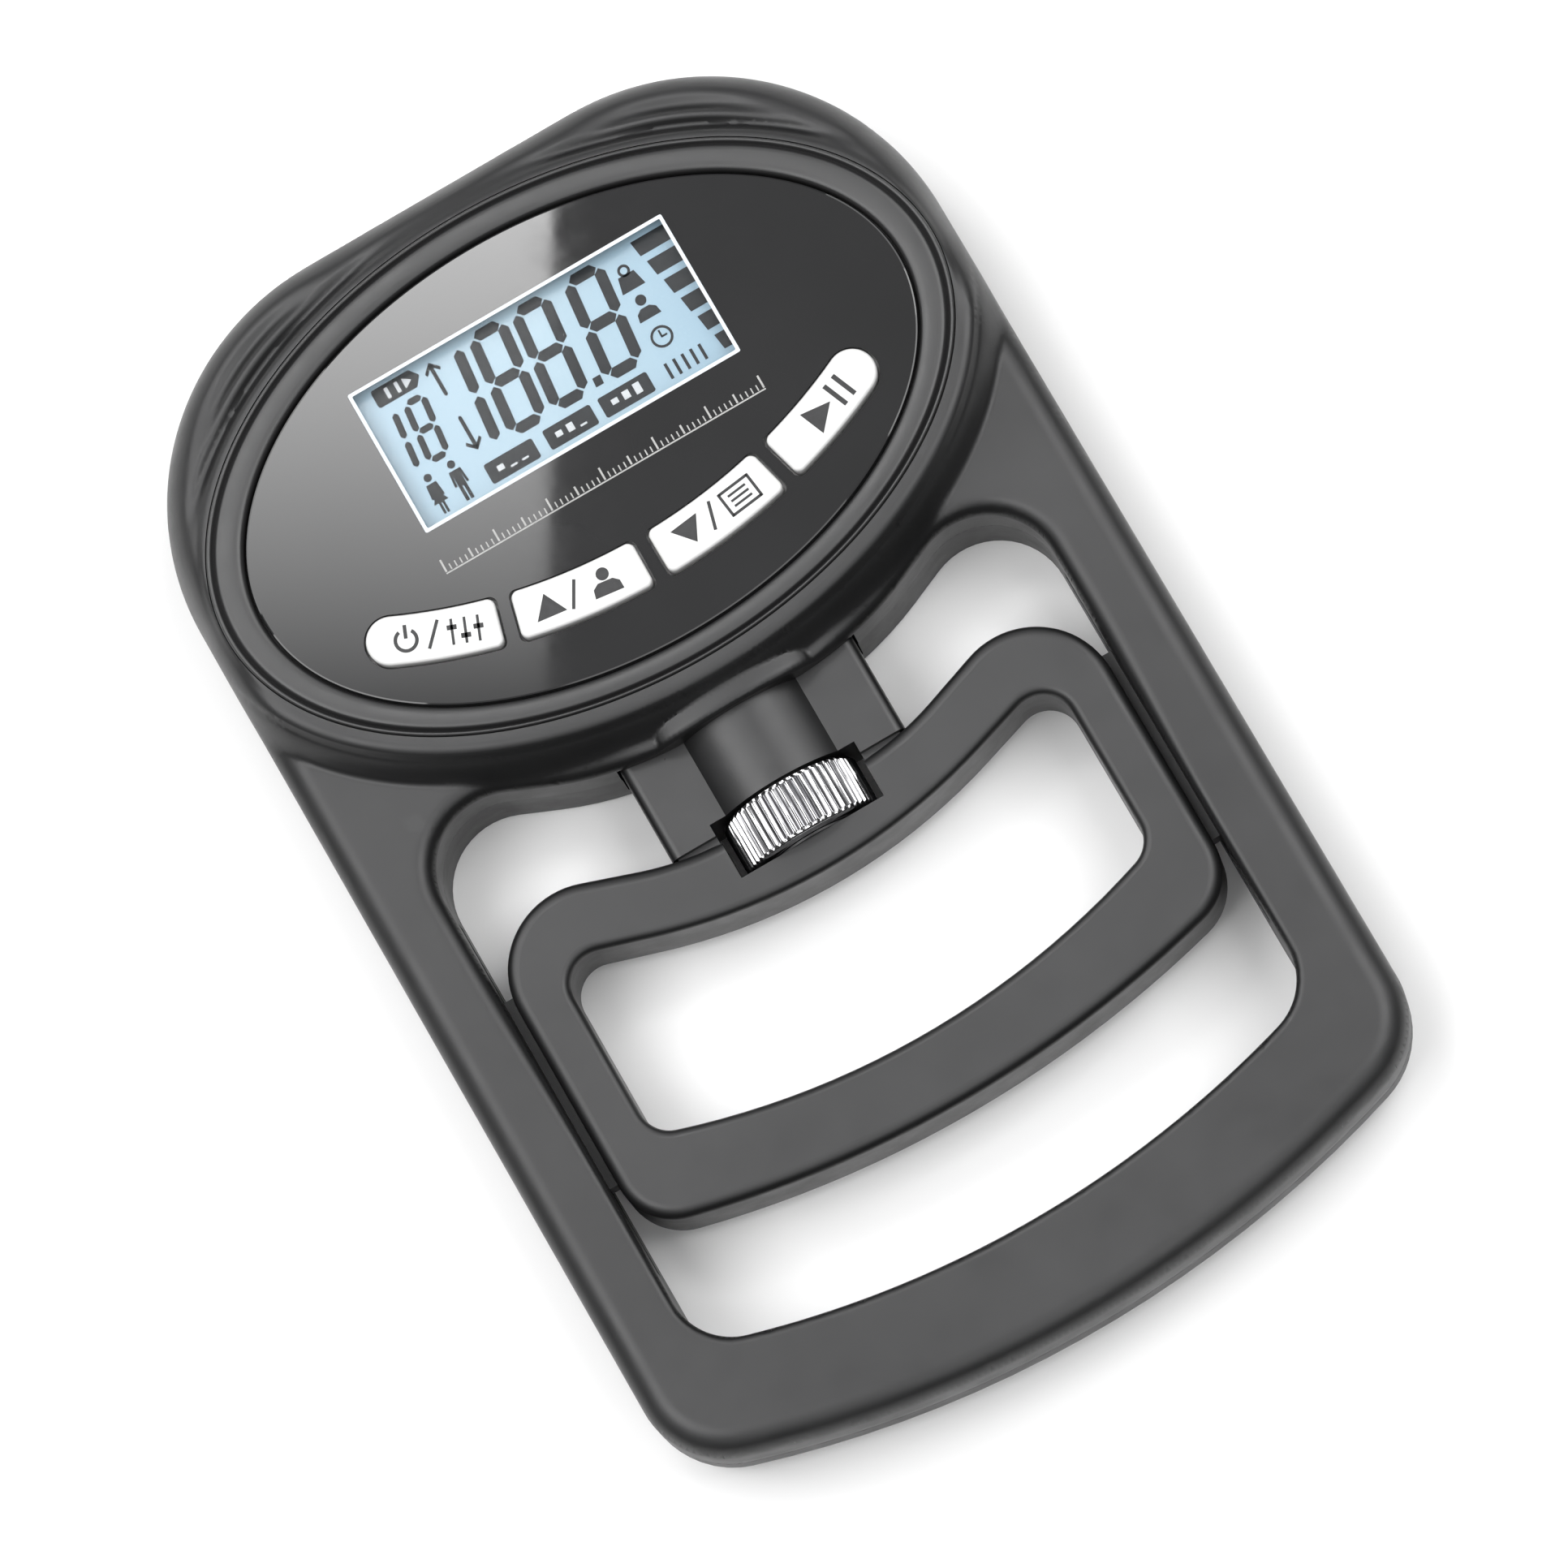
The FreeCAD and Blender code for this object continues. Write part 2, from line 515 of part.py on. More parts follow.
# battery tray: block, well, recess of the door and its hinge slots
sk = new_sketch(rear, "TrayOutline", "1")
draw_rect(sk, "-Dims.tray_half_x", "Dims.tray_low_y", "Dims.tray_half_x", "Dims.tray_top_y")
f = pad(rear, sk, ref("tray_z") + " - 1", "BatteryTray")
sk = new_sketch(rear, "DoorRecessOutline")
draw_rect(sk, "-Dims.door_half_x - Dims.door_gap", "Dims.door_low_y - Dims.door_gap",
          "Dims.door_half_x + Dims.door_gap", "Dims.door_top_y + Dims.door_gap")
f = pocket(rear, sk, ref("door_thick") + " + 0.4", "DoorRecess", up=True)
sk = new_sketch(rear, "WellOutline")
draw_rect(sk, "-Dims.well_half_x", "Dims.well_low_y", "Dims.well_half_x", "Dims.well_top_y")
f = pocket(rear, sk, ref("well_z"), "BatteryWell", up=True)
sk = new_sketch(rear, "HingeSlots", "1.2")
for sx in (-1, 1):
    draw(sk, box_run(sx * 15.0 - 4.5, 84.0, sx * 15.0 + 4.5, 89.8))
f = pocket(rear, sk, "3.4", "DoorHingeSlots", up=True)
sk = new_sketch(rear, "LatchSlot", "1.2")
draw(sk, box_run(-6.5, 62.95, 6.5, 66.0))
f = pocket(rear, sk, "3.0", "DoorLatchSlot", up=True)
for side, tag in ((1, "Right"), (-1, "Left")):
    sk = new_sketch(rear, "RearGroove" + tag, ref("split_z"))
    if side > 0:
        draw_rect(sk, 50.0, "Dims.groove_low_y", "Dims.groove_x", "Dims.groove_top_y")
    else:
        draw_rect(sk, "-Dims.groove_x", "Dims.groove_low_y", -50.0, "Dims.groove_top_y")
    f = pocket(rear, sk, ref("groove_half_z"), "RearGuide" + tag)
keep(rear, "rear_case")

# -------------------------------------------------------------- bezel and lens
bezel = new_body("DisplayBezel")
sk = new_sketch(bezel, "BezelOutline", ref("bezel_seat_z"))
draw_ellipse(sk, d("bezel_y"), d("bezel_semi_x"), d("bezel_semi_y"))
draw_ellipse(sk, 52.8, d("ledge_semi_x"), d("ledge_semi_y"))
f = pad(bezel, sk, ref("bezel_z") + " - " + ref("bezel_seat_z"), "BezelRing")
sk = new_sketch(bezel, "BezelOpening", ref("bezel_z"))
draw_ellipse(sk, d("lens_y"), d("lens_semi_x") + d("lens_gap"), d("lens_semi_y") + d("lens_gap"))
f = pocket(bezel, sk, ref("bezel_z") + " - " + ref("lens_under_z"), "LensSeat")
sk = new_sketch(bezel, "BoardPosts", ref("board_top_z"))
for x, y in PCB_SCREWS:
    draw_circle(sk, x, y, "2.2")
f = pad(bezel, sk, "4.2", "BezelPosts")
sk = new_sketch(bezel, "BoardPostHoles", ref("board_top_z"))
for x, y in PCB_SCREWS:
    draw_circle(sk, x, y, "1.0")
f = pocket(bezel, sk, "3", "BezelPostHoles", up=True)
keep(bezel, "display_bezel")

KEYS = [("power", "key_outer_start", "key_outer_end", -1, True),
        ("up", "key_inner_start", "key_inner_end", -1, False),
        ("down", "key_inner_start", "key_inner_end", 1, False),
        ("start", "key_outer_start", "key_outer_end", 1, True)]
lens = new_body("DisplayLens")
sk = new_sketch(lens, "LensOutline", ref("lens_under_z"))
draw_ellipse(sk, d("lens_y"), d("lens_semi_x"), d("lens_semi_y"))
for name, a, b, side, rnd in KEYS:
    draw(sk, key_run(d(a), d(b), side, 0.0, rnd))
f = pad(lens, sk, ref("lens_z") + " - " + ref("lens_under_z"), "LensPlate")
keep(lens, "display_lens")

# ----------------------------------------------------------------------- keys
KEY_POINTS = {}
for name, a, b, side, rnd in KEYS:
    body = new_body("Key" + name.capitalize())
    cap = key_run(d(a), d(b), side, d("key_gap"), rnd)
    sk = draw(new_sketch(body, "KeyCap" + name, ref("key_flange_z")), cap)
    f = pad(body, sk, ref("key_z") + " - " + ref("key_flange_z"), "Cap" + name)
    f = fillet(body, f, [run_wire(cap, d("key_z"))], "0.6", "CapEdge" + name)
    sk = draw(new_sketch(body, "KeyFlange" + name, ref("key_flange_z")),
              key_run(d(a) - 0.3, d(b) + (0.3 if rnd else 0.25), side, -0.35, rnd))
    f = pad(body, sk, ref("key_under_z") + " - " + ref("key_flange_z"), "Flange" + name)
    t = math.radians((d(a) + d(b)) / 2.0) * side
    px, py = 92.0 * math.sin(t), d("key_arc_y") - 92.0 * math.cos(t)
    KEY_POINTS[name] = (px, py)
    sk = new_sketch(body, "KeyPost" + name, ref("key_post_z"))
    draw_circle(sk, px, py, "1.3")
    f = pad(body, sk, "2", "Post" + name)
    keep(body, "key_" + name)

# ------------------------------------------------- display module and electronics
glass = box("LcdGlass", "-Dims.glass_half_x", "Dims.screen_y - Dims.glass_half_y", ref("glass_under_z"),
            "2 * Dims.glass_half_x", "2 * Dims.glass_half_y", "Dims.glass_z - Dims.glass_under_z")
keep(glass, "lcd_glass")
holder = new_body("LcdHolder")
sk = new_sketch(holder, "HolderOutline", ref("board_top_z"))
draw_rect(sk, "-Dims.holder_half_x", "Dims.screen_y - Dims.holder_half_y",
          "Dims.holder_half_x", "Dims.screen_y + Dims.holder_half_y")
f = pad(holder, sk, ref("holder_z") + " - " + ref("board_top_z"), "HolderBlock")
sk = new_sketch(holder, "GlassSeat", ref("holder_z"))
draw_rect(sk, "-Dims.glass_half_x - 0.1", "Dims.screen_y - Dims.glass_half_y - 0.1",
          "Dims.glass_half_x + 0.1", "Dims.screen_y + Dims.glass_half_y + 0.1")
f = pocket(holder, sk, ref("holder_z") + " - " + ref("glass_under_z"), "GlassPocket")
sk = new_sketch(holder, "LampWindow", ref("glass_under_z"))
draw(sk, box_run(-26.0, d("screen_y") - 9.0, 26.0, d("screen_y") + 9.0),
     box_run(-27.0, d("screen_y") - 13.8, 27.0, d("screen_y") - 11.0),
     box_run(-27.0, d("screen_y") + 11.0, 27.0, d("screen_y") + 13.8))
f = pocket(holder, sk, "2", "LampOpening")
keep(holder, "lcd_holder")
lamp = box("Backlight", -25.8, "Dims.screen_y - 8.8", ref("board_top_z"), 51.6, 17.6, 1.5)
keep(lamp, "backlight_panel")
zebra = gather("ZebraStrips", [
    box("ZebraLow", -26.8, "Dims.screen_y - 13.6", ref("board_top_z"), 53.6, 2.4, "Dims.glass_under_z - Dims.board_top_z"),
    box("ZebraHigh", -26.8, "Dims.screen_y + 11.2", ref("board_top_z"), 53.6, 2.4, "Dims.glass_under_z - Dims.board_top_z")])
keep(zebra, "contact_strips")

board = new_body("MainBoard")
sk = new_sketch(board, "BoardOutline", ref("board_z"))
by, bsx, bsy = d("bezel_y"), d("board_semi_x"), d("board_semi_y")
low = d("board_low_y")
bxx = bsx * math.sqrt(1 - ((low - by) / bsy) ** 2)
ell = Part.Ellipse(V(0, by, 0), bsx, bsy)
t0, t1 = ell.parameter(V(bxx, low, 0)), ell.parameter(V(-bxx, low, 0))
if t0 > t1:
    t0 -= 2 * math.pi
sk.addGeometry(Part.ArcOfEllipse(ell, t0, t1), False)
sk.addGeometry(Part.LineSegment(V(-bxx, low, 0), V(bxx, low, 0)), False)
f = pad(board, sk, ref("board_top_z") + " - " + ref("board_z"), "BoardPlate")
sk = new_sketch(board, "BoardHoles", ref("board_top_z"))
for x, y in PCB_SCREWS:
    draw_circle(sk, x, y, "1.1")
f = pocket(board, sk, "3", "BoardScrewHoles")
keep(board, "main_board")

chips = gather("BoardParts", [
    box("Controller", -6.0, 38.0, "Dims.board_z - 1.2", 9.0, 9.0, 1.2),
    box("Converter", 12.0, 63.0, "Dims.board_z - 1.4", 5.0, 7.0, 1.4),
    rod("Buzzer", -33.0, 60.0, "Dims.board_z - 2.6", 5.0, 2.6),
    box("Crystal", 8.0, 40.0, "Dims.board_z - 1.0", 6.0, 2.4, 1.0),
    box("Plug", 26.5, 66.0, "Dims.board_z - 2.8", 5.0, 8.0, 2.8)])
keep(chips, "board_components")
sw = []
for name, (px, py) in KEY_POINTS.items():
    base = box("SwitchBase" + name, px - 1.9, py - 1.7, ref("board_top_z"), 3.8, 3.4, 1.1)
    top = rod("SwitchCap" + name, px, py, "Dims.board_top_z + 1.1", 1.0, 0.45)
    sw.append(fuse("Switch" + name, [base, top]))
keep(gather("TactSwitches", sw), "tact_switches")
ps = []
for i, (x, y) in enumerate(PCB_SCREWS):
    ps.append(fuse("BoardScrew%d" % i, [rod("BoardShank%d" % i, x, y, "Dims.board_z", 1.0, 4.0),
                                        rod("BoardHead%d" % i, x, y, "Dims.board_z - 1.2", 1.9, 1.2)]))
keep(gather("BoardScrews", ps), "board_screws")

# -------------------------------------------------------------------- load cell
cell = new_body("LoadCellBase")
sk = new_sketch(cell, "CellOutline", ref("cell_back_z"))
draw_rect(sk, "-Dims.cell_half_x", "Dims.cell_low_y", "Dims.cell_half_x", "Dims.cell_top_y")
f = pad(cell, sk, ref("cell_front_z") + " - " + ref("cell_back_z"), "CellBlock")
sk = new_sketch(cell, "CellSlot", ref("cell_front_z"))
draw_rect(sk, "-Dims.cell_slot_half_x", "Dims.cell_slot_low_y", "Dims.cell_slot_half_x", "Dims.cell_slot_top_y")
f = pocket(cell, sk, "13", "CellWindow")
sk = new_sketch(cell, "CellEyes", ref("cell_front_z"))
for x in (-15.5, 15.5):
    draw(sk, [(x, 45.5, 3.2, 1), (x, 52.5, 3.2, 1)])
f = pocket(cell, sk, "13", "CellEyeHoles")
sk = new_sketch(cell, "CellTubeHole", "-" + ref("cell_low_y") + " + 1", "XZ_Plane")
draw_circle(sk, 0.0, d("axis_z"), ref("nut_rad") + " + 0.5")
f = pocket(cell, sk, "5", "CellTubePassage")
sk = new_sketch(cell, "CellHoles", ref("cell_front_z"))
for x, y in CELL_SCREWS:
    draw_circle(sk, x, y, "1.6")
f = pocket(cell, sk, "13", "CellScrewPassages")
sk = new_sketch(cell, "CellSinks", ref("cell_front_z"))
for x, y in CELL_SCREWS:
    draw_circle(sk, x, y, "2.9")
f = pocket(cell, sk, "2.6", "CellHeadWells")
keep(cell, "load_cell_base")
cs = []
for i, (x, y) in enumerate(CELL_SCREWS):
    cs.append(fuse("CellScrew%d" % i, [rod("CellShank%d" % i, x, y, 2.6, 1.25, 12.0),
                                       rod("CellHead%d" % i, x, y, "Dims.cell_front_z - 2.5", 2.7, 2.3)]))
keep(gather("CellScrews", cs), "load_cell_screws")
gauges = gather("StrainGauges", [
    box("Gauge%d" % i, sx * 15.5 - 2.5, y, "Dims.cell_front_z", 5.0, 3.4, 0.15)
    for i, (sx, y) in enumerate(((1, 43.2), (-1, 43.2), (1, 51.4), (-1, 51.4)))])
keep(gauges, "strain_gauges")

block = box("TongueBlock", "-Dims.tongue_block_half_x", ref("tube_top_y"), "Dims.cell_back_z + 0.5",
            "2 * Dims.tongue_block_half_x", "Dims.tongue_block_top_y - Dims.tube_top_y",
            "Dims.cell_front_z - Dims.cell_back_z - 1")
keep(cut("LoadTongue", block, rod("TongueHole", 0, "Dims.tube_top_y - 1", ref("axis_z"), 2.0, 14, "Y")), "load_tongue")
bolt = fuse("PullBolt", [rod("PullBoltShank", 0, "Dims.tube_top_y - 3", ref("axis_z"), 2.0, "Dims.tongue_block_top_y - Dims.tube_top_y + 3", "Y"),
                         rod("PullBoltHead", 0, ref("tongue_block_top_y"), ref("axis_z"), 3.6, 2.8, "Y")])
keep(bolt, "pull_bolt")
tube_out = rod("TubeOuter", 0, ref("nut_top_y"), ref("axis_z"), ref("nut_rad"), "Dims.tube_top_y - Dims.nut_top_y", "Y")
tube_in = rod("TubeInner", 0, "Dims.nut_top_y - 1", ref("axis_z"), ref("tube_bore_rad"), "Dims.tube_top_y - Dims.nut_top_y - 2", "Y")
tube_hole = rod("TubeThread", 0, "Dims.tube_top_y - 4", ref("axis_z"), 2.0, 6, "Y")
keep(cut("PullTube", tube_out, fuse("TubeHollow", [tube_in, tube_hole])), "pull_tube")
nut_out = rod("NutOuter", 0, ref("nut_low_y"), ref("axis_z"), ref("nut_rad"), "Dims.nut_top_y - Dims.nut_low_y", "Y")
nut_in = rod("NutInner", 0, "Dims.nut_low_y - 1", ref("axis_z"), ref("nut_bore_rad"), "Dims.nut_top_y - Dims.nut_low_y + 2", "Y")
keep(cut("DriveNut", nut_out, nut_in), "drive_nut")

# ------------------------------------------------------------------------ stem
stem = new_body("GripStem")
sk = new_sketch(stem, "StemOutline", ref("stem_back_z"))
draw_rect(sk, "-Dims.stem_half_width", "Dims.stem_low_y", "Dims.stem_half_width", "Dims.stem_top_y")
f = pad(stem, sk, ref("stem_front_z") + " - " + ref("stem_back_z"), "StemBlock")
long_edges = []
for i, e in enumerate(stem.Shape.Edges, start=1):
    c = e.CenterOfMass
    if abs(abs(c.x) - d("stem_half_width")) < 0.01 and e.BoundBox.YLength > 20:
        long_edges.append("Edge%d" % i)
ff = stem.newObject("PartDesign::Fillet", "StemEdges")
ff.Base = (f, long_edges)
ff.Radius = 1.0
ff.setExpression("Radius", ref("stem_edge_rad"))
doc.recompute()
sk = new_sketch(stem, "StemArch", "-" + ref("stem_seat_y"), "XZ_Plane")
ar, az = d("arch_rad"), d("arch_centre_z")
aw = math.sqrt(ar ** 2 - (16.0 - az) ** 2)
sk.addGeometry(Part.Arc(V(-aw, 16.0, 0), V(0, az + ar, 0), V(aw, 16.0, 0)), False)
sk.addGeometry(Part.LineSegment(V(aw, 16.0, 0), V(-aw, 16.0, 0)), False)
f = pad(stem, sk, ref("arch_top_y") + " - " + ref("stem_seat_y"), "StemBulge", down=True)
sk = new_sketch(stem, "StemLegs", ref("leg_back_z"))
for sx in (-1, 1):
    a, b = sorted((sx * d("leg_inner_x"), sx * d("leg_outer_x")))
    draw(sk, box_run(a, d("leg_low_y"), b, -7.0))
f = pad(stem, sk, ref("leg_front_z") + " - " + ref("leg_back_z"), "StemLegPads")
sk = new_sketch(stem, "StemKnobRoom", "24")
draw_rect(sk, "-Dims.leg_inner_x", -16.0, "Dims.leg_inner_x", "Dims.stem_seat_y")
f = pocket(stem, sk, "22", "StemKnobGap")
sk = new_sketch(stem, "StemBore", "-" + ref("stem_top_y") + " - 1", "XZ_Plane")
draw_circle(sk, 0.0, d("axis_z"), ref("stem_bore_rad"))
f = pocket(stem, sk, ref("stem_top_y") + " - " + ref("stem_bore_low_y") + " + 1", "StemBoreHole", up=True)
sk = new_sketch(stem, "StemEye", "-" + ref("stem_bore_low_y") + " - 1", "XZ_Plane")
draw_circle(sk, 0.0, d("axis_z"), ref("screw_rad") + " + 0.35")
f = pocket(stem, sk, "6", "StemEyeHole", up=True)
sk = new_sketch(stem, "StemCores", ref("stem_back_z"))
for sx in (-1, 1):
    a, b = sorted((sx * 8.4, sx * 18.0))
    draw(sk, box_run(a, -4.0, b, 22.5, 1.0))
f = pocket(stem, sk, "10.6", "StemLightening", up=True)
keep(stem, "grip_stem")

# ------------------------------------------------------------------ grip shells
def grip_shell(name, tag, z_outer, direction):
    body = new_body(name)
    sk = draw(new_sketch(body, tag + "Outline", ref("split_z")), GRIP, FINGER)
    thick = (ref("grip_front_z") + " - " + ref("split_z")) if direction > 0 else (ref("split_z") + " - " + ref("grip_back_z"))
    f = pad(body, sk, thick, tag + "Plate", down=direction < 0)
    f = fillet(body, f, [run_wire(GRIP, z_outer)], ref("grip_edge_rad"), tag + "Edge")
    f = fillet(body, f, [run_wire(FINGER, z_outer)], ref("grip_window_edge_rad"), tag + "WindowEdge")
    for sx in (-1, 1):
        sk = new_sketch(body, "%sTongue%d" % (tag, sx + 1), ref("split_z"))
        a, b = sorted((sx * (d("grip_half_width") - 1.0), sx * d("tongue_reach_x")))
        draw(sk, box_run(a, d("tongue_low_y"), b, d("tongue_top_y"), 0.0))
        f = pad(body, sk, ref("tongue_half_z"), "%sGuide%d" % (tag, sx + 1), down=direction < 0)
    wall = d("grip_wall")
    sk = draw(new_sketch(body, tag + "Core", ref("split_z")), offset_run(GRIP, -wall), offset_run(FINGER, wall))
    f = pocket(body, sk, thick + " - " + ref("grip_wall"), tag + "Hollow", up=direction > 0)
    sk = new_sketch(body, tag + "KnobBlock", ref("split_z"))
    draw(sk, box_run(-14.4, -19.5, 14.4, -9.45))
    f = pad(body, sk, thick + " - 1", tag + "KnobSeat", down=direction < 0)
    sk = new_sketch(body, tag + "BossCircles", ref("split_z"))
    for x, y in GRIP_SCREWS:
        draw_circle(sk, x, y, "2.6")
    f = pad(body, sk, thick + " - 1", tag + "Bosses", down=direction < 0)
    sk = new_sketch(body, tag + "Notch", ref("split_z"))
    draw_rect(sk, "-Dims.notch_half_width", "Dims.notch_low_y", "Dims.notch_half_width", 0.0)
    f = pocket(body, sk, "12", tag + "KnobNotch", up=direction > 0)
    sk = new_sketch(body, tag + "LegRoom", ref("split_z"))
    draw(sk, box_run(-d("leg_outer_x") - 0.05, d("leg_low_y") - 0.05, d("leg_outer_x") + 0.05, -7.0))
    depth = (ref("leg_front_z") + " - " + ref("split_z")) if direction > 0 else (ref("split_z") + " - " + ref("leg_back_z"))
    f = pocket(body, sk, depth + " + 0.05", tag + "LegPocket", up=direction > 0)
    return body, f


GRIP_SCREWS = [(46.7, -20.0), (-46.7, -20.0), (36.0, -50.9), (-36.0, -50.9), (0.0, -55.6)]
gfront, f = grip_shell("GripFront", "GripF", d("grip_front_z"), 1)
sk = new_sketch(gfront, "GripFrontHoles", ref("split_z"))
for x, y in GRIP_SCREWS:
    draw_circle(sk, x, y, "1.1")
f = pocket(gfront, sk, "4.5", "GripFrontScrewHoles", up=True)
keep(gfront, "grip_front")
grear, f = grip_shell("GripRear", "GripR", d("grip_back_z"), -1)
sk = new_sketch(grear, "GripRearHoles", ref("grip_back_z"))
for x, y in GRIP_SCREWS:
    draw_circle(sk, x, y, "1.25")
f = pocket(grear, sk, "8", "GripRearScrewHoles", up=True)
sk = new_sketch(grear, "GripRearSinks", ref("grip_back_z"))
for x, y in GRIP_SCREWS:
    draw_circle(sk, x, y, "2.1")
f = pocket(grear, sk, "1.8", "GripRearHeadWells", up=True)
keep(grear, "grip_rear")
gs = []
for i, (x, y) in enumerate(GRIP_SCREWS):
    gs.append(fuse("GripScrew%d" % i, [rod("GripShank%d" % i, x, y, "Dims.grip_back_z + 1.6", 1.1, 9.4),
                                       rod("GripHead%d" % i, x, y, "Dims.grip_back_z + 0.2", 2.0, 1.6)]))
keep(gather("GripScrews", gs), "grip_screws")


# ------------------------------------------------------- knob, screw and washers
def washer(name, y):
    return cut(name, rod(name + "Disc", 0, y, ref("axis_z"), ref("washer_rad"), ref("washer_thick"), "Y"),
               rod(name + "Eye", 0, y + " - 1", ref("axis_z"), "Dims.screw_rad + 0.35", 3, "Y"))


keep(gather("ThrustWashers", [washer("WasherHigh", "Dims.stem_seat_y - Dims.washer_thick"),
                              washer("WasherLow", "Dims.notch_low_y")]), "thrust_washers")
knob = new_body("AdjustKnob")
sk = new_sketch(knob, "KnobProfile", None, "YZ_Plane")
y0, y1, r, z = d("knob_low_y"), d("knob_top_y"), d("knob_rad"), d("axis_z")
c = 0.9
prof = [V(y0, z + d("screw_rad"), 0), V(y0, z + r - c, 0), V(y0 + c, z + r, 0), V(y1 - c, z + r, 0),
        V(y1, z + r - c, 0), V(y1, z + d("screw_rad"), 0)]
for i in range(6):
    sk.addGeometry(Part.LineSegment(prof[i], prof[(i + 1) % 6]), False)
line = sk.addGeometry(Part.LineSegment(V(y0, z, 0), V(y1, z, 0)), True)
rev = knob.newObject("PartDesign::Revolution", "KnobTurned")
rev.Profile = sk
rev.ReferenceAxis = (sk, ["Axis0"])
rev.Angle = 360.0
doc.recompute()
if rev.Shape.isNull() or rev.Shape.Volume < 100:
    raise RuntimeError("knob revolution failed")
axis_line = knob.newObject("PartDesign::Line", "KnobAxis")
axis_line.AttachmentSupport = (plane_of(knob, "XZ_Plane"), "")
axis_line.MapMode = "Deactivated"
axis_line.Placement = FreeCAD.Placement(V(0, 0, z), FreeCAD.Rotation(V(1, 0, 0), -90))
sk = new_sketch(knob, "KnobGroove", "-" + ref("knob_top_y") + " - 1", "XZ_Plane")
draw_circle(sk, 0.0, z + r + 0.12, ref("knob_groove_rad"))
g = pocket(knob, sk, "12", "KnobGroove0", up=True)
pat = knob.newObject("PartDesign::PolarPattern", "KnobKnurl")
pat.Originals = [g]
pat.Axis = (axis_line, [""])
pat.Angle = 360.0
pat.Occurrences = int(d("knob_groove_count"))
pat.setExpression("Occurrences", ref("knob_groove_count"))
knob.Tip = pat
doc.recompute()
keep(knob, "adjust_knob")
keep(rod("LeadScrew", 0, ref("screw_low_y"), ref("axis_z"), ref("screw_rad"), "Dims.screw_top_y - Dims.screw_low_y", "Y"), "lead_screw")

# ---------------------------------------------------------- batteries and door
cells, contacts = [], []
for i in range(2):
    yexp = "Dims.battery_low_y + %d * Dims.battery_pitch" % i
    s = 1 if i == 0 else -1
    can = rod("CellCan%d" % i, "-Dims.cell_length / 2 + %g" % (0.0 if s > 0 else 0.9), yexp, ref("battery_z"), ref("cell_rad"),
              "Dims.cell_length - 0.9", "X")
    nub = rod("CellNub%d" % i, ("Dims.cell_length / 2 - 0.9") if s > 0 else "-Dims.cell_length / 2", yexp, ref("battery_z"), 1.9, 0.9, "X")
    cells.append(fuse("Battery%d" % i, [can, nub]))
    for sx in (-1, 1):
        plate = box("Contact%d%d" % (i, sx + 1), 24.8 * sx - 0.2, yexp + " - 4.2", "Dims.battery_z - 4", 0.4, 8.4, 8.0)
        coil = rod("Coil%d%d" % (i, sx + 1), (22.3 if sx > 0 else -24.6), yexp, ref("battery_z"), 2.4, 2.3, "X")
        contacts.append(fuse("ContactSet%d%d" % (i, sx + 1), [plate, coil]))
keep(gather("BatteryCells", cells), "battery_cells")
keep(gather("BatteryContacts", contacts), "battery_contacts")

door = new_body("BatteryDoor")
sk = new_sketch(door, "DoorOutline")
draw_rect(sk, "-Dims.door_half_x", "Dims.door_low_y", "Dims.door_half_x", "Dims.door_top_y")
f = pad(door, sk, ref("door_thick"), "DoorPlate")
sk = new_sketch(door, "DoorTabs", "1.5")
for sx in (-1, 1):
    draw(sk, box_run(sx * 15.0 - 3.8, 86.9, sx * 15.0 + 3.8, 89.3))
f = pad(door, sk, "1.1", "DoorHingeTabs")
sk = new_sketch(door, "DoorLatch", "1.0")
draw(sk, box_run(-5.5, 63.3, 5.5, 64.6))
f = pad(door, sk, "2.4", "DoorLatchTab")
sk = new_sketch(door, "DoorRidges")
for i in range(5):
    draw(sk, box_run(-7.0, 66.0 + 1.8 * i, 7.0, 66.8 + 1.8 * i))
f = pocket(door, sk, "0.5", "DoorFingerRidges", up=True)
keep(door, "battery_door")

# ----------------------------------------------------------------- case screws
fs = []
for i, (x, y) in enumerate(CASE_SCREWS):
    fs.append(fuse("CaseScrew%d" % i, [rod("CaseShank%d" % i, x, y, 2.9, ref("case_screw_rad"), 14.0),
                                       rod("CaseHead%d" % i, x, y, 1.0, ref("case_screw_head_rad"), 2.0)]))
keep(gather("CaseScrews", fs), "case_screws")

# --------------------------------------------------------------- check and save
doc.recompute()
bad = []
for obj in doc.Objects:
    if "Invalid" in obj.State or "Error" in obj.State:
        bad.append("%s: %s" % (obj.Name, obj.State))
for obj in nodes:
    shape = obj.Shape
    if shape.isNull() or not shape.isValid() or not shape.Solids:
        bad.append("%s: bad shape" % obj.Label)
if bad:
    raise RuntimeError("; ".join(bad))
labels = [obj.Label for obj in nodes]
if len(set(labels)) != len(labels):
    raise RuntimeError("two sub-parts share a label")
os.makedirs("parts", exist_ok=True)
for obj in nodes:
    obj.Shape.exportStep("parts/%s.step" % obj.Label)
    b = obj.Shape.BoundBox
    print("%-18s solids %d volume %9.1f  x %.2f %.2f  y %.2f %.2f  z %.2f %.2f" % (
        obj.Label, len(obj.Shape.Solids), obj.Shape.Volume, b.XMin, b.XMax, b.YMin, b.YMax, b.ZMin, b.ZMax))
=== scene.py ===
import math

import bmesh
import bpy
import numpy as np
from mathutils import Matrix, Vector
from mathutils.geometry import delaunay_2d_cdt


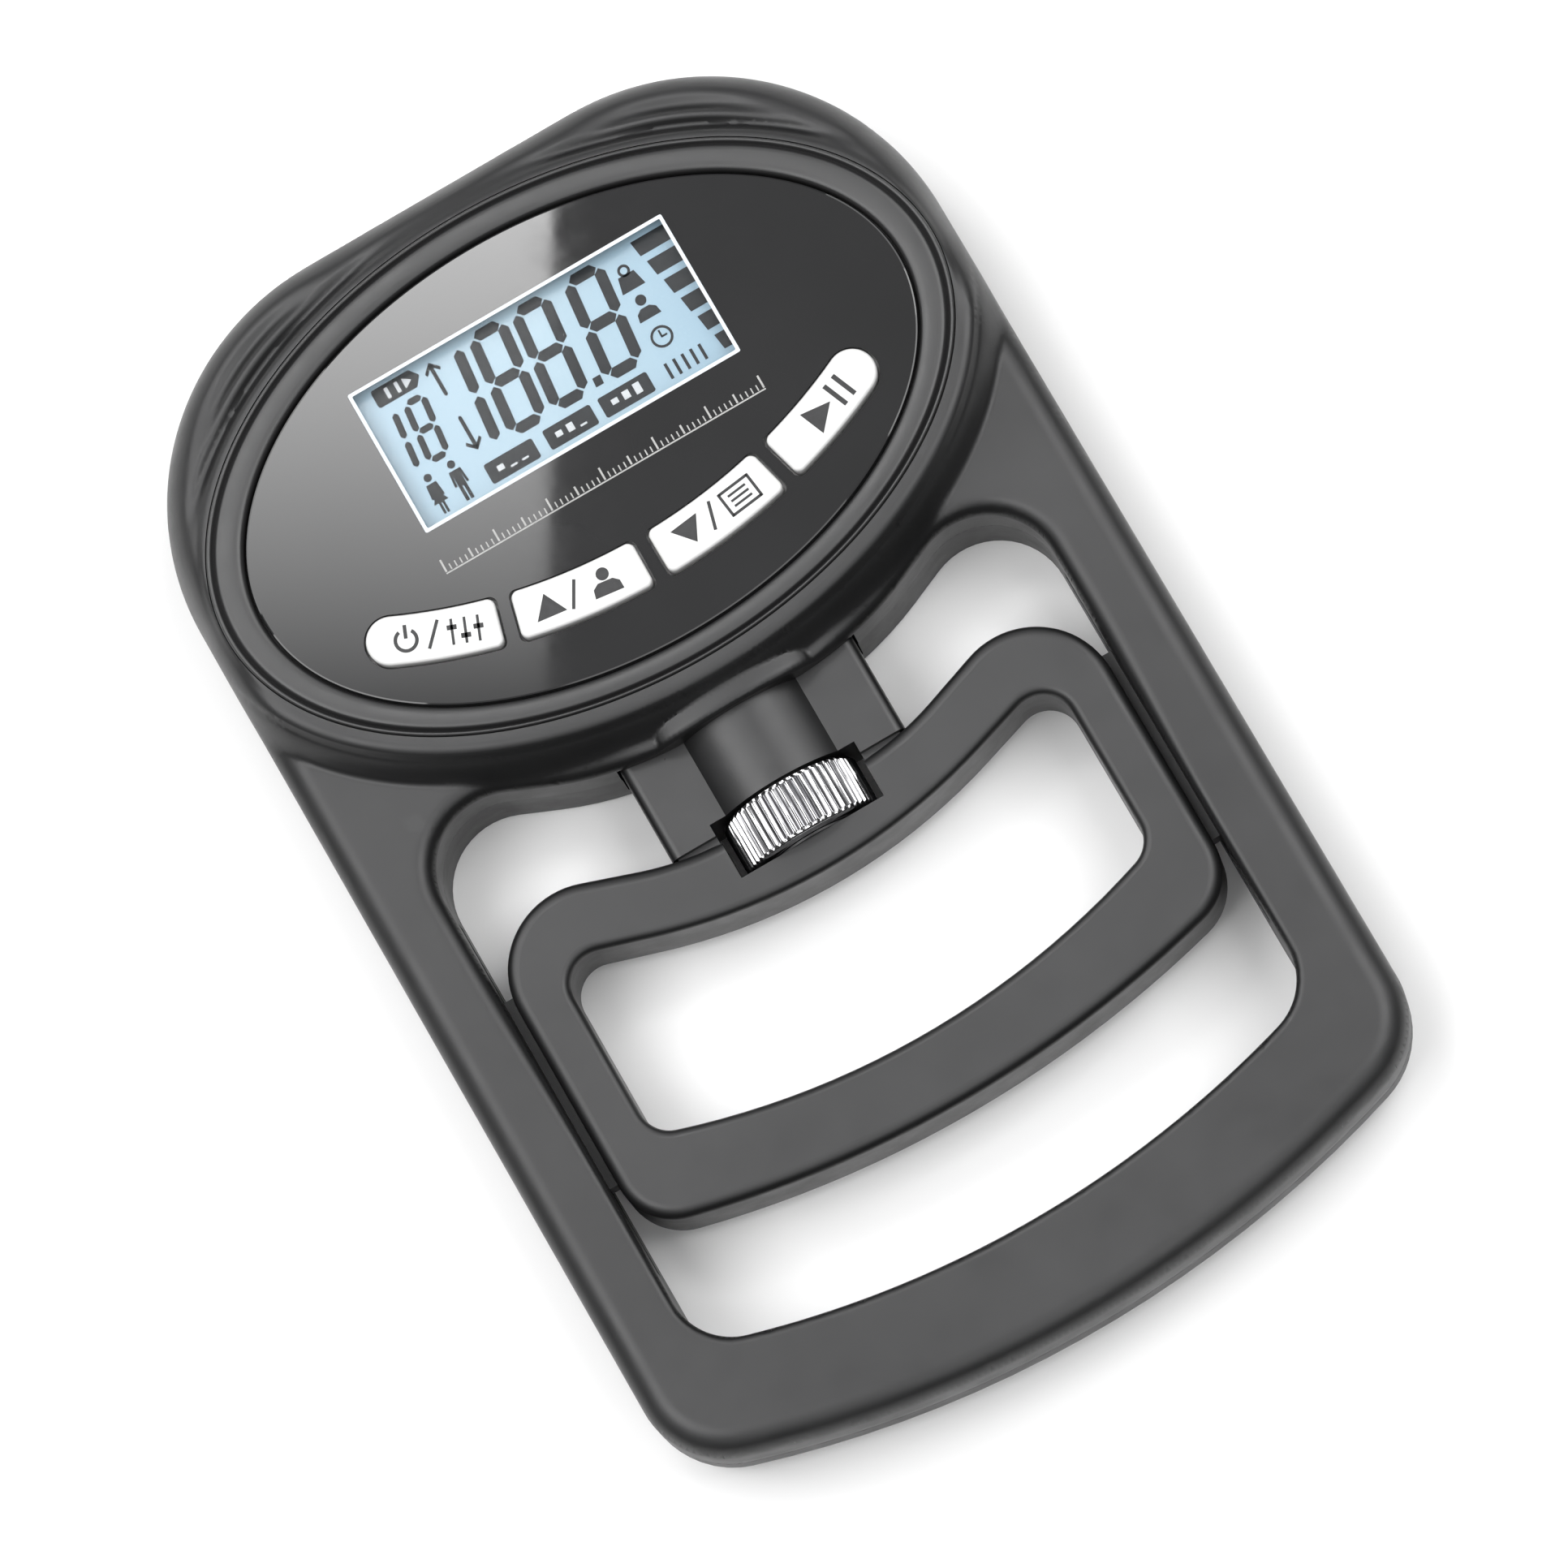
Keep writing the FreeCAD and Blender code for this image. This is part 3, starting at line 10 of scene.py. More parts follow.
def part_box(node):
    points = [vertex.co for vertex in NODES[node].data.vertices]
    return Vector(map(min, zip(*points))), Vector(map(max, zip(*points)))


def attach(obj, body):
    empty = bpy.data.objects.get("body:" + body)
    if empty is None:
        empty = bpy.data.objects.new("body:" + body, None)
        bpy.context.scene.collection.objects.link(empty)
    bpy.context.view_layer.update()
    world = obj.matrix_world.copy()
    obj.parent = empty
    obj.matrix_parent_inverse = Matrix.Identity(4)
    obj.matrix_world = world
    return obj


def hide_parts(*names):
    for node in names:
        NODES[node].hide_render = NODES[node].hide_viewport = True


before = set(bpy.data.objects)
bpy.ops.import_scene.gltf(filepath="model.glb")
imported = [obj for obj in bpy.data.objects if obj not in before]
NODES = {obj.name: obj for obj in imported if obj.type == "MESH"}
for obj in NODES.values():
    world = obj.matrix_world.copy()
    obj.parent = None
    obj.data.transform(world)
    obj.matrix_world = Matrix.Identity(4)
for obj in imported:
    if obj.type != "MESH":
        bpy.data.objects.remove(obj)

bpy.context.scene.view_settings.view_transform = "Standard"
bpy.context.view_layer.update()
MM = 0.001


# ------------------------------------------------------------------ materials
def new_mat(name):
    m = bpy.data.materials.new(name)
    m.use_nodes = True
    nt = m.node_tree
    for n in list(nt.nodes):
        nt.nodes.remove(n)
    out = nt.nodes.new("ShaderNodeOutputMaterial")
    bsdf = nt.nodes.new("ShaderNodeBsdfPrincipled")
    nt.links.new(bsdf.outputs[0], out.inputs[0])
    return m, nt, bsdf


def coords(nt, scale=(1, 1, 1)):
    tc = nt.nodes.new("ShaderNodeTexCoord")
    mp = nt.nodes.new("ShaderNodeMapping")
    mp.inputs["Scale"].default_value = scale
    nt.links.new(tc.outputs["Object"], mp.inputs["Vector"])
    return mp.outputs["Vector"]


def noise(nt, vec, scale, detail=3.0, rough=0.5):
    n = nt.nodes.new("ShaderNodeTexNoise")
    n.inputs["Scale"].default_value = scale
    n.inputs["Detail"].default_value = detail
    n.inputs["Roughness"].default_value = rough
    nt.links.new(vec, n.inputs["Vector"])
    return n.outputs["Fac"]


def ramp(nt, fac, stops):
    r = nt.nodes.new("ShaderNodeValToRGB")
    el = r.color_ramp.elements
    while len(el) < len(stops):
        el.new(0.5)
    for e, (p, c) in zip(el, stops):
        e.position = p
        e.color = (c[0], c[1], c[2], 1.0) if len(c) == 3 else c
    nt.links.new(fac, r.inputs["Fac"])
    return r.outputs["Color"]


def maprange(nt, val, a, b, c, d):
    n = nt.nodes.new("ShaderNodeMapRange")
    n.inputs["From Min"].default_value = a
    n.inputs["From Max"].default_value = b
    n.inputs["To Min"].default_value = c
    n.inputs["To Max"].default_value = d
    nt.links.new(val, n.inputs["Value"])
    return n.outputs["Result"]


def bump(nt, height, strength, distance):
    b = nt.nodes.new("ShaderNodeBump")
    b.inputs["Strength"].default_value = strength
    b.inputs["Distance"].default_value = distance
    nt.links.new(height, b.inputs["Height"])
    return b.outputs["Normal"]


def mix_rgb(nt, fac, a, b, mode="MIX"):
    n = nt.nodes.new("ShaderNodeMix")
    n.data_type = "RGBA"
    n.blend_type = mode
    if isinstance(fac, float):
        n.inputs[0].default_value = fac
    else:
        nt.links.new(fac, n.inputs[0])
    for sock, v in ((n.inputs[6], a), (n.inputs[7], b)):
        if isinstance(v, tuple):
            sock.default_value = (v[0], v[1], v[2], 1.0)
        else:
            nt.links.new(v, sock)
    return n.outputs[2]


def plastic(name, base, rough, grain=2600.0, grain_depth=0.00003, vary=0.10, coat=0.0, spec=0.5, edge=0.10, painted_wall_shade=1.0):
    # moulded plastic: fine spark-eroded grain, faint tone drift, rubbed brighter edges, and walls that turn away from
    # lying flat darkened as painted shade
    m, nt, b = new_mat(name)
    v = coords(nt)
    fine = noise(nt, v, grain, 3.0, 0.6)
    drift = noise(nt, v, 38.0, 4.0, 0.55)
    lo = tuple(c * (1 - vary) for c in base)
    hi = tuple(c * (1 + vary) for c in base)
    col = ramp(nt, drift, [(0.3, lo), (0.7, hi)])
    geo = nt.nodes.new("ShaderNodeNewGeometry")
    worn = maprange(nt, geo.outputs["Pointiness"], 0.505, 0.56, 0.0, edge)
    col = mix_rgb(nt, worn, col, tuple(min(1.0, c * 2.1 + 0.012) for c in base))
    # painted shade: faces whose normal leaves the vertical are blended toward near-black, so side walls read darker
    if painted_wall_shade < 1.0:
        up = nt.nodes.new("ShaderNodeSeparateXYZ")
        nt.links.new(geo.outputs["Normal"], up.inputs[0])
        ab = nt.nodes.new("ShaderNodeMath")
        ab.operation = "ABSOLUTE"
        nt.links.new(up.outputs["Z"], ab.inputs[0])
        wall_shade_fac = maprange(nt, ab.outputs[0], 0.70, 0.995, painted_wall_shade, 1.0)
        col = mix_rgb(nt, wall_shade_fac, (0.0035, 0.0035, 0.0037), col)
    nt.links.new(col, b.inputs["Base Color"])
    smudge = noise(nt, v, 120.0, 5.0, 0.62)
    nt.links.new(maprange(nt, smudge, 0.3, 0.72, rough - 0.05, rough + 0.07), b.inputs["Roughness"])
    b.inputs["Specular IOR Level"].default_value = spec
    if coat:
        b.inputs["Coat Weight"].default_value = coat
        b.inputs["Coat Roughness"].default_value = 0.12
    nt.links.new(bump(nt, fine, 0.22, grain_depth), b.inputs["Normal"])
    return m


def metal(name, base, rough, stretch=(1, 1, 1), scale=900.0, aniso=0.0):
    m, nt, b = new_mat(name)
    v = coords(nt, stretch)
    n1 = noise(nt, v, scale, 4.0, 0.6)
    n2 = noise(nt, coords(nt), 60.0, 4.0, 0.6)
    col = ramp(nt, n2, [(0.3, tuple(c * 0.9 for c in base)), (0.7, tuple(min(1, c * 1.05) for c in base))])
    nt.links.new(col, b.inputs["Base Color"])
    b.inputs["Metallic"].default_value = 1.0
    nt.links.new(maprange(nt, n1, 0.3, 0.7, rough * 0.75, rough * 1.35), b.inputs["Roughness"])
    nt.links.new(bump(nt, n1, 0.12, 0.00002), b.inputs["Normal"])
    return m


def chrome_mat():
    # plated knurl: bright lands with valleys darkened as painted shade, and streaks along the axis painted as light and
    # dark reflection bands
    m, nt, b = new_mat("knob_chrome")
    v = coords(nt)
    ny = nt.nodes.new("ShaderNodeSeparateXYZ")
    nt.links.new(v, ny.inputs[0])
    geo = nt.nodes.new("ShaderNodeNewGeometry")
    # painted shade: the knurl's valleys, found by pointiness, are coloured near-black
    crest_vs_shaded_valley = maprange(nt, geo.outputs["Pointiness"], 0.455, 0.525, 0.0, 1.0)
    col = ramp(nt, crest_vs_shaded_valley, [(0.0, (0.035, 0.035, 0.037)), (0.45, (0.30, 0.30, 0.31)), (0.85, (0.86, 0.86, 0.87))])
    # painted reflection: noise stretched along the knob's axis darkens long streaks, imitating reflected bands
    tone = ramp(nt, noise(nt, coords(nt, (1.0, 0.04, 1.0)), 230.0, 3.0, 0.7), [(0.36, (0.42, 0.42, 0.43)), (0.60, (1.0, 1.0, 1.0))])
    nt.links.new(mix_rgb(nt, 1.0, col, tone, "MULTIPLY"), b.inputs["Base Color"])
    b.inputs["Metallic"].default_value = 1.0
    nt.links.new(maprange(nt, noise(nt, v, 1500.0, 4.0, 0.6), 0.3, 0.7, 0.08, 0.15), b.inputs["Roughness"])
    return m


M = {}
M["case"] = plastic("case_plastic", (0.0375, 0.0376, 0.0384), 0.38, spec=0.36, painted_wall_shade=0.2)
M["back"] = plastic("back_plastic", (0.0360, 0.0361, 0.0369), 0.42, spec=0.36, painted_wall_shade=0.25)
M["grip"] = plastic("grip_plastic", (0.0395, 0.0396, 0.0404), 0.38, spec=0.36, painted_wall_shade=0.2)
M["stem"] = plastic("stem_plastic", (0.0330, 0.0331, 0.0339), 0.32, spec=0.42, painted_wall_shade=0.15)
M["bezel"] = plastic("bezel_plastic", (0.0370, 0.0371, 0.0378), 0.36, painted_wall_shade=0.35, grain=3400.0, vary=0.05)
M["white_key"] = plastic("key_white", (0.68, 0.68, 0.675), 0.42, grain=3000.0, grain_depth=0.00001, vary=0.02, edge=0.0)
M["holder"] = plastic("holder_white", (0.75, 0.75, 0.73), 0.5, edge=0.0)
M["rubber"] = plastic("strip_rubber", (0.03, 0.03, 0.033), 0.7)
M["chip"] = plastic("chip_black", (0.02, 0.02, 0.02), 0.5)
M["board"] = plastic("board_green", (0.02, 0.15, 0.06), 0.35, vary=0.15, edge=0.0)
M["film"] = plastic("gauge_film", (0.55, 0.3, 0.05), 0.35)
M["nylon"] = plastic("washer_nylon", (0.03, 0.03, 0.031), 0.45)
M["lamp"] = plastic("light_guide", (0.7, 0.85, 0.95), 0.3, edge=0.0)
M["chrome"] = chrome_mat()
M["steel"] = metal("bright_steel", (0.62, 0.62, 0.63), 0.25, stretch=(1, 0.05, 1))
M["zinc"] = metal("zinc_steel", (0.50, 0.50, 0.49), 0.34, scale=700.0)
M["alu"] = metal("cell_aluminium", (0.74, 0.74, 0.75), 0.3, stretch=(0.1, 1, 1))
M["brass"] = metal("brass", (0.72, 0.52, 0.22), 0.28, stretch=(1, 0.1, 1))
M["nickel"] = metal("nickel_contact", (0.66, 0.64, 0.58), 0.25)


def can_mat():
    # battery wrap: dark body, pale band, both slightly worn
    m, nt, b = new_mat("battery_can")
    v = coords(nt)
    sep = nt.nodes.new("ShaderNodeSeparateXYZ")
    nt.links.new(v, sep.inputs[0])
    band = maprange(nt, sep.outputs["X"], 0.0095, 0.0100, 0.0, 1.0)
    wear = ramp(nt, noise(nt, v, 300.0, 5.0, 0.6), [(0.35, (0.05, 0.055, 0.065)), (0.7, (0.07, 0.078, 0.09))])
    col = mix_rgb(nt, band, wear, (0.55, 0.42, 0.16))
    nt.links.new(col, b.inputs["Base Color"])
    b.inputs["Metallic"].default_value = 0.55
    nt.links.new(maprange(nt, noise(nt, v, 500.0), 0.3, 0.7, 0.22, 0.36), b.inputs["Roughness"])
    return m


M["can"] = can_mat()


def lens_mat():
    # dark printed window: near-black print under a polished clear face
    m, nt, b = new_mat("lens_print")
    v = coords(nt)
    tone = noise(nt, v, 30.0, 3.0, 0.5)
    col = ramp(nt, tone, [(0.3, (0.0135, 0.0136, 0.0141)), (0.75, (0.0175, 0.0176, 0.0184))])
    nt.links.new(col, b.inputs["Base Color"])
    haze = noise(nt, v, 210.0, 5.0, 0.65)
    nt.links.new(maprange(nt, haze, 0.3, 0.75, 0.022, 0.05), b.inputs["Roughness"])
    b.inputs["Specular IOR Level"].default_value = 0.6
    nt.links.new(bump(nt, noise(nt, v, 18.0, 2.0, 0.4), 0.05, 0.00004), b.inputs["Normal"])
    return m


M["lens"] = lens_mat()


def lcd_mat():
    # reflective liquid-crystal panel: cool pale field, faint cell grain, brighter in the middle, and a faint painted
    # glow of its own colour
    m, nt, b = new_mat("lcd_panel")
    v = coords(nt)
    sep = nt.nodes.new("ShaderNodeSeparateXYZ")
    nt.links.new(v, sep.inputs[0])
    tone = maprange(nt, sep.outputs["X"], -0.027, 0.027, 0.0, 1.0)
    col = ramp(nt, tone, [(0.0, (0.335, 0.465, 0.560)), (0.55, (0.365, 0.495, 0.580)), (1.0, (0.300, 0.440, 0.545))])
    grain = noise(nt, v, 2600.0, 2.0, 0.5)
    col = mix_rgb(nt, maprange(nt, grain, 0.35, 0.7, 0.0, 0.10), col, (0.43, 0.55, 0.63))
    nt.links.new(col, b.inputs["Base Color"])
    nt.links.new(maprange(nt, grain, 0.3, 0.7, 0.18, 0.28), b.inputs["Roughness"])
    # painted light: the field emits a little of its own colour to lift its brightness
    b.inputs["Emission Strength"].default_value = 0.12
    nt.links.new(col, b.inputs["Emission Color"])
    return m


M["lcd"] = lcd_mat()


def pane_mat():
    # clear window of the lens in front of the display
    m, nt, b = new_mat("clear_window")
    v = coords(nt)
    nt.links.new(ramp(nt, noise(nt, v, 60.0, 3.0), [(0.3, (0.02, 0.03, 0.035)), (0.7, (0.03, 0.04, 0.045))]), b.inputs["Base Color"])
    nt.links.new(maprange(nt, noise(nt, v, 210.0, 4.0), 0.3, 0.75, 0.03, 0.07), b.inputs["Roughness"])
    b.inputs["Alpha"].default_value = 0.06
    return m


M["pane"] = pane_mat()


def ink(name, a, b2, rough=0.4, scale=900.0):
    m, nt, b = new_mat(name)
    v = coords(nt)
    nt.links.new(ramp(nt, noise(nt, v, scale, 4.0, 0.6), [(0.3, a), (0.7, b2)]), b.inputs["Base Color"])
    nt.links.new(maprange(nt, noise(nt, v, scale * 0.4), 0.3, 0.7, rough - 0.06, rough + 0.06), b.inputs["Roughness"])
    return m


M["segment"] = ink("lcd_segment", (0.006, 0.007, 0.009), (0.011, 0.013, 0.016))
M["border"] = ink("lcd_border", (0.58, 0.62, 0.65), (0.66, 0.69, 0.71))
M["legend"] = ink("key_legend", (0.008, 0.008, 0.009), (0.018, 0.018, 0.02))
M["print"] = ink("lens_marks", (0.30, 0.30, 0.295), (0.40, 0.40, 0.39))
# near-black painted shade for the bezel gap and the screw drive recesses
M["gap"] = ink("painted_shade_black", (0.002, 0.002, 0.002), (0.006, 0.006, 0.006), 0.6)


def set_mat(node, mat):
    o = NODES[node]
    if not o.material_slots:
        o.data.materials.append(mat)
    for s in o.material_slots:
        s.material = mat


for node, mat in (
        ("front_case", "case"), ("rear_case", "back"), ("display_bezel", "bezel"), ("display_lens", "lens"),
        ("key_power", "white_key"), ("key_up", "white_key"), ("key_down", "white_key"), ("key_start", "white_key"),
        ("lcd_glass", "lcd"), ("lcd_holder", "holder"), ("backlight_panel", "lamp"), ("contact_strips", "rubber"),
        ("main_board", "board"), ("board_components", "chip"), ("tact_switches", "nickel"), ("board_screws", "zinc"),
        ("load_cell_base", "alu"), ("load_cell_screws", "zinc"), ("strain_gauges", "film"), ("load_tongue", "alu"),
        ("pull_bolt", "zinc"), ("pull_tube", "steel"), ("drive_nut", "brass"), ("grip_stem", "stem"),
        ("grip_front", "grip"), ("grip_rear", "grip"), ("grip_screws", "zinc"), ("thrust_washers", "nylon"),
        ("adjust_knob", "chrome"), ("lead_screw", "steel"), ("battery_cells", "can"), ("battery_contacts", "nickel"),
        ("battery_door", "back"), ("case_screws", "zinc")):
    set_mat(node, M[mat])


# ------------------------------------------------------------------- outlines
# A closed run of tangent arcs: (x, y, radius, sense) in millimetres, sense +1
# anticlockwise round the centre and -1 clockwise.
def run_points(circles, step=1.0):
    n = len(circles)
    leave, arrive = [None] * n, [None] * n
    for i in range(n):
        x1, y1, r1, s1 = circles[i]
        x2, y2, r2, s2 = circles[(i + 1) % n]
        dx, dy = x2 - x1, y2 - y1
        dist = math.hypot(dx, dy)
        k = s2 * r2 - s1 * r1
        a = -math.asin(max(-1.0, min(1.0, k / dist)))
        ex, ey = dx / dist, dy / dist
        ux, uy = ex * math.cos(a) - ey * math.sin(a), ex * math.sin(a) + ey * math.cos(a)
        nx, ny = -uy, ux
        p1 = (x1 - s1 * r1 * nx, y1 - s1 * r1 * ny)
        p2 = (x2 - s2 * r2 * nx, y2 - s2 * r2 * ny)
        if math.hypot(p2[0] - p1[0], p2[1] - p1[1]) < 0.02 or abs(k) >= dist:
            p1 = p2 = ((p1[0] + p2[0]) / 2, (p1[1] + p2[1]) / 2)
        leave[i], arrive[(i + 1) % n] = p1, p2
    pts = []
    for i in range(n):
        x, y, r, s = circles[i]
        a, b = arrive[i], leave[i]
        if r > 1e-9 and math.hypot(a[0] - b[0], a[1] - b[1]) > 1e-6:
            ta = math.atan2(a[1] - y, a[0] - x)
            tb = math.atan2(b[1] - y, b[0] - x)
            if s > 0:
                while tb <= ta:
                    tb += 2 * math.pi
            else:
                while tb >= ta:
                    tb -= 2 * math.pi
            cnt = max(2, int(math.ceil(max(abs(tb - ta) * r / step, abs(tb - ta) / 0.14))))
            for j in range(cnt):
                t = ta + (tb - ta) * j / cnt
                pts.append((x + r * math.cos(t), y + r * math.sin(t)))
        c = arrive[(i + 1) % n]
        length = math.hypot(c[0] - b[0], c[1] - b[1])
        if length > 1e-6:
            cnt = max(1, int(math.ceil(length / step)))
            for j in range(cnt):
                pts.append((b[0] + (c[0] - b[0]) * j / cnt, b[1] + (c[1] - b[1]) * j / cnt))
    out = []
    for p in pts:
        if not out or math.hypot(p[0] - out[-1][0], p[1] - out[-1][1]) > 0.02:
            out.append(p)
    return np.array(out)


def grow(circles, g):
    return [(x, y, r + s * g, s) for x, y, r, s in circles]


def inner_corner(side_x, by, br, r):
    x = side_x - r
    return x, by - math.sqrt((br - r) ** 2 - x ** 2)


fx, fy = inner_corner(64.0, 80.1, 179.6, 14.0)
CASE = [(23.0, 58.5, 41.0, 1), (-23.0, 58.5, 41.0, 1), (-fx, fy, 14.0, 1), (0, 80.1, 179.6, 1), (fx, fy, 14.0, 1)]
wx, wy = inner_corner(52.2, 76.5, 159.0, 10.0)
WINDOW = [(41.0, 3.5, 11.2, 1), (8.0, 63.5, 57.0, -1), (-8.0, 63.5, 57.0, -1), (-41.0, 3.5, 11.2, 1),
          (-wx, wy, 10.0, 1), (0, 76.5, 159.0, 1), (wx, wy, 10.0, 1)]
gx, gy = inner_corner(50.8, 113.0, 174.5, 9.5)
GRIP = [(37.8, -16.0, 13.0, 1), (10.0, 35.7, 45.0, -1), (-10.0, 35.7, 45.0, -1), (-37.8, -16.0, 13.0, 1),
        (-gx, gy, 9.5, 1), (0, 113.0, 174.5, 1), (gx, gy, 9.5, 1)]
qx, qy = inner_corner(42.6, 75.2, 125.0, 5.0)
FINGER = [(37.6, -18.8, 5.0, 1), (0, 71.0, 92.0, -1), (-37.6, -18.8, 5.0, 1),
          (-qx, qy, 5.0, 1), (0, 75.2, 125.0, 1), (qx, qy, 5.0, 1)]


def inside(poly, pts):
    # even-odd test, vectorised over points
    x, y = pts[:, 0], pts[:, 1]
    res = np.zeros(len(pts), bool)
    x1, y1 = poly[:, 0], poly[:, 1]
    x2, y2 = np.roll(x1, -1), np.roll(y1, -1)
    for a, b, c, e in zip(x1, y1, x2, y2):
        if b == e:
            continue
        cross = ((b > y) != (e > y)) & (x < (c - a) * (y - b) / (e - b) + a)
        res ^= cross
    return res


def dist_poly(poly, pts):
    # unsigned distance from points to a closed polyline
    a = poly
    b = np.roll(poly, -1, axis=0)
    best = np.full(len(pts), 1e9)
    for i in range(0, len(pts), 4000):
        p = pts[i:i + 4000][:, None, :]
        ab = (b - a)[None]
        t = np.clip(((p - a[None]) * ab).sum(-1) / np.maximum((ab ** 2).sum(-1), 1e-12), 0, 1)
        d = np.sqrt(((a[None] + ab * t[..., None] - p) ** 2).sum(-1))
        best[i:i + 4000] = d.min(1)
    return best


def smooth(a, b, v):
    # eased step from 0 at a to 1 at b, with a above or below b
    t = np.clip((v - a) / (b - a), 0, 1)
    return t * t * (3 - 2 * t)


def ellipse_points(cy, ax, ay, n):
    t = np.linspace(0, 2 * math.pi, n, endpoint=False)
    return np.stack([ax * np.cos(t), cy + ay * np.sin(t)], 1)


def build(name, verts_mm, faces, mat, body, smooth_deg=38.0, flat=False):
    me = bpy.data.meshes.new(name)
    me.from_pydata([tuple(float(c) * MM for c in v) for v in verts_mm], [], [tuple(int(i) for i in f) for f in faces])
    me.update()
    bm = bmesh.new()
    bm.from_mesh(me)
    bmesh.ops.remove_doubles(bm, verts=bm.verts, dist=1e-7)
    bmesh.ops.recalc_face_normals(bm, faces=bm.faces)
    lim = math.radians(smooth_deg)
    for f in bm.faces:
        f.smooth = not flat
    for e in bm.edges:
        e.smooth = len(e.link_faces) == 2 and e.calc_face_angle(0.0) < lim
    bm.to_mesh(me)
    bm.free()
    ob = bpy.data.objects.new(name, me)
    bpy.context.collection.objects.link(ob)
    me.materials.append(mat)
    if body:
        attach(ob, body)
    return ob


def orient_up(verts, faces):
    # turn a top sheet's triangles so that they face +Z
    out = []
    for f in faces:
        a, b, c = (verts[i] for i in f[:3])
        if (b[0] - a[0]) * (c[1] - a[1]) - (b[1] - a[1]) * (c[0] - a[0]) < 0:
            f = tuple(reversed(f))
        out.append(tuple(f))
    return out


def sheet(outer, holes, extra, height):
    # triangulated region between an outer loop and holes, with extra points, lifted by height(x, y)
    loops = [outer] + holes
    pts, edges, bounds = [], [], []
    for loop in loops:
        s = len(pts)
        n = len(loop)
        pts += [tuple(p) for p in loop]
        edges += [(s + i, s + (i + 1) % n) for i in range(n)]
        bounds.append((s, s + n))
    nb = len(pts)
    if len(extra):
        keep = inside(outer, extra) & (dist_poly(outer, extra) > 0.10)
        for h in holes:
            keep &= ~inside(h, extra) & (dist_poly(h, extra) > 0.10)
        extra = extra[keep]
        # thin out points that fall almost on each other
        key = {}
        for p in extra:
            key.setdefault((round(p[0] / 0.28), round(p[1] / 0.28)), p)
        pts += [tuple(p) for p in key.values()]
    res = delaunay_2d_cdt([Vector(p) for p in pts], edges, [], 0, 1e-7)
    v2 = np.array([(v.x, v.y) for v in res[0]])
    tris = [f for f in res[2] if len(f) == 3]
    cen = np.array([v2[list(f)].mean(0) for f in tris])
    ok = inside(outer, cen)
    for h in holes:
        ok &= ~inside(h, cen)
    tris = [t for t, k in zip(tris, ok) if k]
    z = height(v2)
    verts = [(v2[i, 0], v2[i, 1], z[i]) for i in range(len(v2))]
    # index of each boundary point in the result
    look = {}
    for i, olds in enumerate(res[3]):
        for o in olds:
            look[o] = i
    rims = [[look[i] for i in range(a, b)] for a, b in bounds]
    return verts, orient_up(verts, tris), rims


def skirt(verts, faces, rim, levels):
    # walls hanging from a rim: each level is a function of (x, y, z, k) that gives the next ring's point
    prev = list(rim)
    for fn in levels:
        cur = []
        for k, i in enumerate(rim):
            x, y, z = verts[i]
            cur.append(len(verts))
            verts.append(fn(x, y, z, k))
        n = len(rim)
        for k in range(n):
            faces.append((prev[k], prev[(k + 1) % n], cur[(k + 1) % n], cur[k]))
        prev = cur
    return prev


# ---------------------------------------------------------- sculpted case front
SEAT_X, SEAT_Y, SEAT_C = 60.8, 39.2, 53.1
BOSS_Z = 26.9
GROOVE_LOW, GROOVE_TOP = -60.0, 1.0
ELL = ellipse_points(SEAT_C, SEAT_X, SEAT_Y, 420)
CASE_FINE = run_points(CASE, 0.8)
CASE_DENSE = run_points(CASE, 0.12)
WIN_FINE = run_points(WINDOW, 0.8)


def case_height(p):
    x, y = p[:, 0], p[:, 1]
    do = dist_poly(CASE_FINE, p)
    dw = dist_poly(WIN_FINE, p)
    e = dist_poly(ELL, p)
    w = e + do
    t = np.clip(e / np.maximum(w, 1e-6), 0, 1)
    # lower side of the head: plateau, rounded brow, wall, hollow foot
    brow = np.where(e < 1.2, 0.0, 1 - np.sqrt(np.clip(1 - (np.clip(e - 1.2, 0, 1.9) / 1.9) ** 2, 0, 1)))
    low = BOSS_Z - 1.7 * brow
    foot = smooth(2.7, 6.6, e)
    low = low * (1 - foot) + 21.0 * foot
    low = np.where(e > 6.6, 21.0, low)
    # upper shoulders: falling face with two long hollows that fade out
    fall = BOSS_Z - 0.5 * smooth(0, 0.25, t) - 4.3 * np.clip(t, 0, 1) ** 1.7
    sh = smooth(58.0, 76.0, y)
    d1 = smooth(8.5, 14.0, w) * sh
    d2 = smooth(6.5, 11.0, w) * sh
    up = fall - 2.0 * d1 * np.exp(-((do - 5.9) / 1.3) ** 2)
    up -= 1.7 * d2 * np.exp(-((e - 2.6) / 1.0) ** 2)
    up += 0.4 * d1 * np.exp(-((e - 5.0) / 1.2) ** 2)
    side = smooth(30.0, 64.0, y)
    z = low * (1 - side) + up * side
    # hood over the arched stem
    hood = 21.0 + 3.0 * np.clip(1 - (x / 12.9) ** 2, 0, None) ** 0.62
    hood = hood - 0.9 * (1 - np.sqrt(np.clip(1 - (1 - np.clip(dw / 1.3, 0, 1)) ** 2, 0, 1)))
    hood_in = np.where(np.abs(x) < 12.9, 1.0, 0.0) * smooth(30.0, 26.0, y)
    z = np.where((y < 30) & (y > 3), np.maximum(z, 21.0 * (1 - hood_in) + hood * hood_in), z)
    # rounded outer edge and rounded window edge
    r = 4.4
    q = np.clip(do, 0, r)
    z = z - (r - np.sqrt(np.clip(r * r - (r - q) ** 2, 0, None)))
    rw = 1.3 + 1.5 * smooth(-45.0, -5.0, y) * smooth(12.0, 24.0, np.abs(x))
    q = np.clip(dw, 0, rw)
    z = z - np.where(y > 3, smooth(12.2, 13.4, np.abs(x)), 1.0) * (rw - np.sqrt(np.clip(rw * rw - (rw - q) ** 2, 0, None)))
    return z


